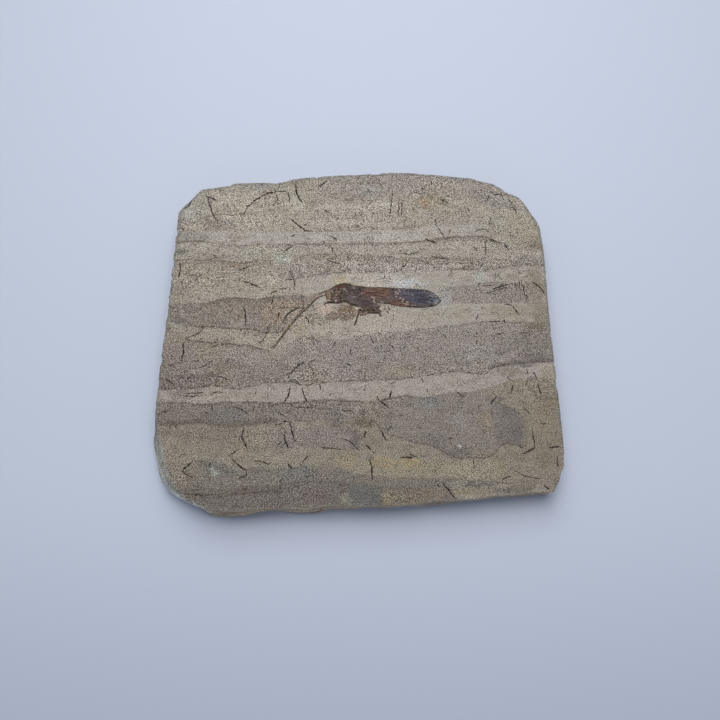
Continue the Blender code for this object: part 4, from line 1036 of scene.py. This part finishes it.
def stone_material():
    tree = Tree("banded stone")
    place = tree.face_place()
    x, y = tree.split(place)[:2]
    crumbs = tree.noise(place, 0.5, 2)
    loose_y = y + (tree.noise(place, 3.0, 3) - 0.5) * 1.1 + (crumbs - 0.5)

    # The beds and stains, with a grain that is stronger towards the far and the left side.
    colour, grain, lines = laid_beds(tree, x, loose_y)
    colour, stain = stained(tree, colour, crumbs.remap(0.3, 0.5, 0.7, 1.0))
    crumbly = tree.attribute("crumbly")
    stronger = y.math("MAXIMUM", -26.0) * 0.013 - x * 0.004 + y.step(0.0, 15.0) * 0.25 + 1.36
    grain = (grain + stain * 0.15 + crumbly * 0.7) * stronger
    dashes = tree.noise(tree.stretched(place, 0.5, 1.5), 1.0, 2).step(0.4, 0.5)
    colour = dark_lines(tree, x, loose_y, lines, dashes, colour)

    # Hair-thin wrinkles, mostly along the beds.
    wrinkles = tree.noise(tree.stretched(place, 0.3, 1.0), 3.2, 3, 0.6) - 0.5
    wrinkles = wrinkles.absolute().step(0.035, 0.005)
    wrinkles = wrinkles * tree.noise(place, 5.0, 1).step(0.45, 0.6) * crumbs.step(0.35, 0.55)
    colour = tree.mix(wrinkles * 0.45, colour, paint("wrinkle"))

    # Broken sides: thin layers, a painted light that makes the near side brighter and warmer, a painted
    # shade that makes the left and the right darker and bluer, and pale where the lower left corner has
    # broken off.
    laminae = tree.noise(tree.stretched(place, 0.12, 0.12, 1.9), 1.0, 3, 0.6)
    side_colour = tree.mix(laminae.step(0.38, 0.62), paint("dark layer"), paint("pale layer"))
    side_colour = tree.mix(tree.noise(place, 7.0, 2).step(0.4, 0.7), side_colour, paint("brown layer"))
    # Painted light: the near side, which gets little light, is made brighter and warmer.
    near = (-y).step(38.0, 46.0)
    side_colour = tree.mix(near, side_colour, NEAR_PAINTED_LIGHT, "MULTIPLY")
    # Painted shade: the left and the right sides are made darker and bluer.
    beside = x.absolute().step(50.0, 55.0) * (-y).step(34.0, 28.0)
    side_colour = tree.mix(beside, side_colour, BESIDE_PAINTED_SHADE, "MULTIPLY")
    nearly_near = (-y).step(29.0, 34.0)
    corner = (-x).step(37.0, 43.0) * nearly_near
    side_colour = tree.mix(corner * 0.9, side_colour, paint("broken corner"))
    facing_up = tree.split(tree.normal())[2]
    side = facing_up.step(0.93, 0.7)

    # The rim: worn in places, bevelled at the lower left, and greyer along the other sides.
    rim = tree.attribute("rim")
    worn = rim - tree.noise(place, 1.8, 3).remap(0.3, 0.7, 0.0, 1.1)
    colour = tree.mix(worn.step(0.1, 0.45) * 0.3, colour, paint("worn rim"))
    bevel = (-x).step(44.0, 51.0) * nearly_near * rim.step(0.05, 0.35)
    colour = tree.mix(bevel * 0.95, colour, paint("bevel"))
    grain = grain * (bevel * -0.6 + 1.0) * (side * -0.65 + 1.0)
    colour = tree.mix(side, colour, side_colour)
    edge = (rim + y.step(20.0, 40.0) * 0.35).step(0.4, 0.85) * y.step(-38.0, -28.0)
    edge = edge * crumbs.step(0.3, 0.5) * facing_up.step(0.2, 0.6)
    colour = tree.mix(edge * 0.6, colour, paint("grey rim"))

    # Salt and pepper grain, blotches, and a few pale crystals and dark specks.
    fine = tree.noise(place, 0.2, 0).remap(0.25, 0.75, -1.0, 1.0)
    coarse = tree.swing(place, 0.8, 2)
    blotches = tree.swing(place, 3.0, 4, 0.6)
    bedding = tree.swing(tree.stretched(place, 0.12, 1.0), 0.9, 3)
    tone = 1.065 + (grain + 0.3) * (fine * 1.05 + coarse * 0.12) + blotches * 0.08 + bedding * 0.07
    colour = tree.times(colour, tone.math("MAXIMUM", 0.1))
    tint = tree.noise(place, 9.0, 2).step(0.55, 0.75)
    colour = tree.mix(tint * 0.35, colour, paint("olive"), "SOFT_LIGHT")
    pale = tree.noise(place, 0.4, 0).step(0.65, 0.75) * (grain * 0.5 + crumbly * 0.3)
    pale = pale * y.step(-50.0, 0.0).remap(0.0, 1.0, 0.4, 1.0)
    colour = tree.mix(pale, colour, paint("crystal"))
    clusters = tree.noise(place, 2.6, 3).step(0.36, 0.66).remap(0.0, 1.0, 0.3, 1.0)
    dark = tree.noise(tree.vector("ADD", place, (31.0, 7.0, 3.0)), 0.33, 1).step(0.56, 0.65)
    dark = (dark * clusters * (grain * 0.6 + 0.35)).math("MINIMUM", 0.95)
    colour = tree.mix(dark, colour, paint("speck"))

    bumps = tree.bump(coarse * 0.6 + fine * 0.4, 0.05, 0.6)
    bumps = tree.bump(laminae * side, 0.25, 0.7, bumps)
    return tree.finish(colour, fine.remap(-1.0, 1.0, 0.78, 0.95), 0.3, bumps)


def insect_material():
    tree = Tree("carbonised film")
    place = tree.face_place()
    body = tree.split(place)[0].step(3.0, 0.0)
    colour = stained(tree, paint("film")[:3], 1.0)[0]

    # Streaks along the wings, a crumbly mottle on the body, a dark rim, and stone where it has flaked off.
    streaks = tree.swing(tree.stretched(place, 0.16, 1.0), 0.3, 3, 0.6)
    mottle = tree.swing(place, 0.36, 2, 0.6)
    tone = 1.0 + streaks * 0.7 + mottle * (body * 0.4 + 0.7)
    colour = tree.times(colour, tone.math("MAXIMUM", 0.15))
    crumbs = tree.noise(tree.vector("ADD", place, (5.0, 9.0, 2.0)), 0.42, 1).step(0.62, 0.7)
    colour = tree.mix(crumbs * (body * 0.4 + 0.15), colour, paint("film crumb"))
    rim = tree.attribute("inside").step(0.95, 0.6)
    colour = tree.mix(rim * 0.5, colour, paint("film rim"))
    colour = tree.mix(tree.attribute("flaked") * 0.85, colour, paint("flaked"))
    bumps = tree.bump(mottle * 0.6 + streaks * 0.4, 0.05, 0.6)
    return tree.finish(colour, mottle.remap(-1.0, 1.0, 0.55, 0.8), 0.2, bumps)


def fragment_material():
    tree = Tree("dark plant film")
    mottle = tree.noise(tree.face_place(), 0.4, 2)
    colour = tree.mix(mottle.step(0.45, 0.75), paint("fragment"), paint("brown fragment"))
    colour = tree.mix(tree.attribute("darkness"), paint("faded fragment"), colour)
    return tree.finish(colour, 0.8, 0.1, tree.bump(mottle, 0.03, 0.6))


def rim_share(count):
    """1 at the rim and off the face, fading to 0 a few cells in, for each of the stone's vertices."""
    i, j = np.meshgrid(np.arange(CELLS_ALONG + 1), np.arange(CELLS_ACROSS + 1))
    cells_in = np.minimum(np.minimum(i, CELLS_ALONG - i), np.minimum(j, CELLS_ACROSS - j)).ravel()
    rim = np.ones(count)
    rim[:len(cells_in)] = smoothstep(RIM_CELLS, 0, cells_in)
    return rim


def make_stone():
    vertices, faces = closed_slab(*stone_mesh())
    stone = new_piece("stone", vertices, faces, stone_material(), sharp=38)
    laid = stains(vertices[:, :2], PATCHES, 1.3, 2.2, 51)
    laid[vertices[:, 2] < STAINED_FROM] = 0
    give(stone, "stains", "FLOAT_COLOR", laid)
    x, y = loose_places(vertices, 0.8, 2.0, 53)
    crumbly = np.zeros(len(vertices))
    for *patch, strength in CRUMBLY:
        crumbly = np.maximum(crumbly, strength * patch_share(x, y, *patch))
    give(stone, "crumbly", "FLOAT", crumbly * (vertices[:, 2] > STAINED_FROM))
    give(stone, "rim", "FLOAT", rim_share(len(vertices)))
    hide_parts("stone_slab")
    return stone


def softened(grid, width):
    """The grid blurred by a bell curve, its width given in cells."""
    wide = math.ceil(3 * width)
    bell = np.exp(-0.5 * (np.arange(-wide, wide + 1) / width) ** 2)
    bell /= bell.sum()
    for axis in (0, 1):
        grid = np.apply_along_axis(np.convolve, axis, grid, bell, "same")
    return grid


def packed_insect():
    """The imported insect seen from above: places, its height over the face, and 1 where it is."""
    low, high = (np.array(corner[:2]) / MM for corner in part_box("fossil_insect"))
    xs = np.arange(low[0] - 0.8, high[0] + 0.8, INSECT_CELL)
    ys = np.arange(low[1] - 0.8, high[1] + 0.8, INSECT_CELL)
    solid = packed("fossil_insect")
    heights = np.zeros((len(ys), len(xs)))
    covered = np.zeros((len(ys), len(xs)))
    for j, y in enumerate(ys):
        for i, x in enumerate(xs):
            place = solid.ray_cast(Vector((x, y, SLAB_TOP + 2)), Vector((0, 0, -1)))[0]
            if place:
                heights[j, i] = place.z - SLAB_TOP
                covered[j, i] = 1
    return xs, ys, heights, covered


def insect_detail(points, x, y):
    """Fine relief of the film in millimetres: crumpling, streaks along the wings, joints and flakes."""
    on_wings = smoothstep(-0.5, 2.5, x) * smoothstep(6.6, 7.6, y)
    crumple = 0.05 * field(points, 1.3, 31, 3) + 0.03 * field(points, 0.45, 32)
    along = np.column_stack((points[:, 0] / 9, points[:, 1] + 0.08 * points[:, 0]))
    streaks = 0.035 * field(along, 0.5, 33, 2)
    height = crumple * (1 - 0.5 * on_wings) + streaks * on_wings
    for place, lean, width, depth in ((-5.9, 0.25, 0.25, 0.08), (-3.2, 0.3, 0.2, 0.04),
                                      (0.2, -0.2, 0.25, 0.07)):
        height -= depth * np.exp(-((x - place - lean * (y - 11)) / width) ** 2)
    return height


def film_cells(outline):
    """The grid's cells that the film covers, with no two that touch at a corner alone."""
    corners = (outline[:-1, :-1], outline[:-1, 1:], outline[1:, :-1], outline[1:, 1:])
    kept = np.max(corners, axis=0) > 0.3
    kept[[0, -1]] = False
    kept[:, [0, -1]] = False
    for _ in range(20):
        a, b, c, d = kept[:-1, :-1], kept[:-1, 1:], kept[1:, :-1], kept[1:, 1:]
        slant, other = a & d & ~b & ~c, b & c & ~a & ~d
        if not (slant.any() or other.any()):
            break
        kept[:-1, 1:] |= slant
        kept[:-1, :-1] |= other
    return kept


def film_faces(kept, quads, n):
    """Faces of the film: its cells above, the same n points on below, and the sides between them."""
    faces = [tuple(quad) for quad in quads] + [tuple(quad[::-1] + n) for quad in quads]
    sides = ((-1, 0, 0, 1), (0, 1, 1, 2), (1, 0, 2, 3), (0, -1, 3, 0))
    for row, column, quad in zip(*np.nonzero(kept), quads):
        for up, right, start, end in sides:
            if not kept[row + up, column + right]:
                faces.append((quad[start], quad[start] + n, quad[end] + n, quad[end]))
    return [tuple(int(i) for i in face) for face in faces]


def make_insect():
    xs, ys, heights, covered = packed_insect()
    width = INSECT_SOFTNESS / INSECT_CELL
    inside = softened(covered, width)
    heights = softened(heights, width) / np.maximum(inside, 0.3)
    places = np.array([(x, y) for y in ys for x in xs])
    near = inside.ravel() > 0.02
    ragged = np.zeros(len(places))
    ragged[near] = 0.2 * field(places[near], 0.8, 41) + 0.12 * field(places[near], 0.3, 42)
    outline = inside + ragged.reshape(inside.shape)

    kept = film_cells(outline)
    rows, columns = np.nonzero(kept)
    wide = len(xs)
    quads = rows * wide + columns
    quads = np.stack((quads, quads + 1, quads + wide + 1, quads + wide), axis=1)
    used, quads = np.unique(quads, return_inverse=True)
    points = places[used]

    x, y = points[:, 0] - FACE_ZERO[0], points[:, 1] - FACE_ZERO[1]
    lift = smoothstep(0.3, 0.75, outline.ravel()[used])
    form = FILM_THICKNESS + INSECT_FLATNESS * heights.ravel()[used] + insect_detail(points, x, y)
    flaked = spots_on(points, FLAKES, 0.15, 43)
    form += flaked * (0.04 - form)
    form = np.maximum(form, FILM_THICKNESS)
    stone = SLAB_TOP + face_relief(points)
    top = np.column_stack((points, stone - INSECT_SUNK + lift * (INSECT_SUNK + form)))
    floor = np.column_stack((points, np.full(len(points), SLAB_TOP - INSECT_DEPTH)))
    faces = film_faces(kept, quads.reshape(-1, 4), len(points))
    insect = new_piece("insect", np.concatenate((top, floor)), faces, insect_material(), sharp=60)

    laid = lines_laid(stains(points, INSECT_COLOURS, 0.35, 0.9, 61), points, INSECT_LINES, 71)
    black = spots_on(points, GRAINS, 0.15, 44)[:, None]
    laid = laid * (1 - black) + black * np.array(paint("grain"))
    give(insect, "stains", "FLOAT_COLOR", np.tile(laid, (2, 1)))
    give(insect, "inside", "FLOAT", np.tile(inside.ravel()[used], 2))
    give(insect, "flaked", "FLOAT", np.tile(flaked, 2))
    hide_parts("fossil_insect")


def route_points(route, step):
    """Points a step apart along the straight pieces of a route."""
    corners = np.array(route, float)
    lengths = np.concatenate(([0.0], np.cumsum(np.linalg.norm(np.diff(corners, axis=0), axis=1))))
    places = np.linspace(0, lengths[-1], max(3, math.ceil(lengths[-1] / step) + 1))
    return np.column_stack([np.interp(places, lengths, corners[:, axis]) for axis in (0, 1)])


def strewn_fragments():
    """Short curved routes scattered over the face, clear of its rim and the insect."""
    random.seed(SMALL_SEED)
    (left, right), (low, high) = INSECT_PLACE
    while True:
        x, y = (random.uniform(*span) for span in STREWN_OVER)
        turn, bend = random.uniform(0, math.pi), random.uniform(-0.7, 0.7)
        half = random.uniform(*SMALL_LENGTH) / 2
        ahead = np.array((math.cos(turn), math.sin(turn))) * half
        aside = np.array((-ahead[1], ahead[0])) * bend
        middle = np.array((x, y))
        width, darkness = random.uniform(*SMALL_WIDTH), random.uniform(*SMALL_DARKNESS)
        if not (left < x < right and low < y < high):
            yield width, darkness, (middle - ahead, middle + aside * 0.5, middle + ahead)


def path_on(face, route):
    """Points along a route that wavers a little, and where each meets the face, without those off it."""
    path = route_points(route, FRAGMENT_STEP) + FACE_ZERO
    path = path + np.array([[random.gauss(0, FRAGMENT_WAVER), random.gauss(0, FRAGMENT_WAVER)] for _ in path])
    hits = [face.ray_cast(Vector((*place, SLAB_TOP + 3)), Vector((0, 0, -1)))[0] for place in path]
    on_face = [k for k, hit in enumerate(hits) if hit and hit.z > SLAB_TOP - 0.3]
    return path[on_face], [hits[k].z for k in on_face]


def make_fragments(stone):
    """Thin spindles that lie along the stone's face, half sunk in it."""
    face = surface_of(stone.data)
    strewn = strewn_fragments()
    routes = [(width, dark, route) for width, dark, group in FRAGMENTS for route in group]
    routes += [next(strewn) for _ in range(SMALL_FRAGMENTS)]
    random.seed(SMALL_SEED + 1)
    vertices, faces, darknesses = [], [], []
    for half_width, darkness, route in routes:
        path, heights = path_on(face, route)
        count = len(path)
        if count < 2:
            continue
        ways = np.gradient(path, axis=0)
        ways /= np.linalg.norm(ways, axis=1)[:, None]
        asides = np.column_stack((-ways[:, 1], ways[:, 0]))
        first = len(vertices)
        for k, (place, aside, height) in enumerate(zip(path, asides, heights)):
            share = (k + 0.5) / count
            wide = half_width * (4 * share * (1 - share)) ** 0.35 * random.uniform(0.6, 1.35)
            shade = darkness * random.choice((1.0, 1.0, 0.9, 0.65))
            for offset, rise in ((wide, 0.0), (0, 0.03 + 0.15 * wide), (-wide, 0.0), (0, -FRAGMENT_SUNK)):
                vertices.append((*(place + aside * offset), height + rise))
                darknesses.append(shade)
        for k in range(first, first + 4 * (count - 1), 4):
            for i in range(4):
                a, b = k + i, k + (i + 1) % 4
                faces.append((a, a + 4, b + 4, b))
        last = first + 4 * (count - 1)
        faces.append(tuple(first + i for i in range(4)))
        faces.append(tuple(last + i for i in (3, 2, 1, 0)))
    fragments = new_piece("plant_fragments", vertices, faces, fragment_material(), sharp=60)
    give(fragments, "darkness", "FLOAT", darknesses)


def make_floor():
    """A pale floor that curves up into a low backdrop all round, well away from the slab, darkened towards
    the near side by painted shade.
    """
    vertices, faces = [(0.0, 0.0, 0.0)], []
    for radius in np.linspace(FLOOR_FLAT, FLOOR_END, FLOOR_RINGS):
        height = FLOOR_RISE * ((radius - FLOOR_FLAT) / (FLOOR_END - FLOOR_FLAT)) ** 2
        for k in range(FLOOR_SIDES):
            angle = 2 * math.pi * k / FLOOR_SIDES
            vertices.append((radius * math.cos(angle), radius * math.sin(angle), height))
    for k in range(FLOOR_SIDES):
        faces.append((0, 1 + k, 1 + (k + 1) % FLOOR_SIDES))
        for ring_start in range(1, 1 + (FLOOR_RINGS - 1) * FLOOR_SIDES, FLOOR_SIDES):
            a, b = ring_start + k, ring_start + (k + 1) % FLOOR_SIDES
            faces.append((a, a + FLOOR_SIDES, b + FLOOR_SIDES, b))
    mesh = bpy.data.meshes.new("floor")
    mesh.from_pydata(vertices, [], faces)
    mesh.shade_smooth()
    tree = Tree("pale floor")
    # Painted shade: the floor darkens towards the near side, where less light reaches it.
    near = (-tree.split(tree.face_place())[1]).step(35.0, 125.0)
    mesh.materials.append(tree.finish(tree.mix(near, paint("floor"), paint("shaded near floor")), 0.9, 0.1))
    floor = in_scene("floor", mesh)


def make_light(name, place, size, energy, colour=(1.0, 0.985, 0.955)):
    """A soft rectangular light, metres and watts, turned towards the slab."""
    light = bpy.data.lights.new(name, "AREA")
    light.color = colour
    light.shape = "RECTANGLE"
    light.size, light.size_y = size
    light.energy = energy
    lamp = in_scene(name, light)
    lamp.location = place
    lamp.rotation_euler = (-Vector(place)).to_track_quat("-Z", "Y").to_euler()


def make_world():
    """Soft daylight from all round, fading overhead."""
    world = bpy.data.worlds.new("soft daylight")
    world.use_nodes = True
    nodes, links = world.node_tree.nodes, world.node_tree.links
    background = nodes["Background"]
    background.inputs["Color"].default_value = (0.88, 0.95, 1.08, 1)
    way = nodes.new("ShaderNodeSeparateXYZ")
    links.new(nodes.new("ShaderNodeTexCoord").outputs["Generated"], way.inputs[0])
    glow = nodes.new("ShaderNodeMapRange")
    glow.interpolation_type = "SMOOTHSTEP"
    for key, value in (("From Min", 0.45), ("From Max", 0.85), ("To Min", 0.42), ("To Max", 0.08)):
        glow.inputs[key].default_value = value
    links.new(way.outputs["Z"], glow.inputs["Value"])
    links.new(glow.outputs["Result"], background.inputs["Strength"])
    bpy.context.scene.world = world


def make_lights():
    make_world()
    make_light("window", (0.0, 0.15, 0.34), (0.30, 0.42), 1.08)
    make_light("ceiling", (0.1, 0.5, 2.2), (1.3, 1.3), 12.0)
    make_light("fill", (0.0, -0.9, 0.3), (1.0, 0.3), 1.0, (0.8, 0.93, 1.2))


def make_camera():
    camera = in_scene("camera", bpy.data.cameras.new("camera"))
    camera.data.lens = CAMERA_LENS
    camera.data.clip_start = 0.01
    camera.location = [mm * MM for mm in CAMERA_PLACE]
    camera.rotation_euler = (CAMERA_TILT, 0, 0)
    bpy.context.scene.camera = camera


make_fragments(make_stone())
make_insect()
make_floor()
make_lights()
make_camera()
bpy.context.scene.view_settings.view_transform = "Standard"
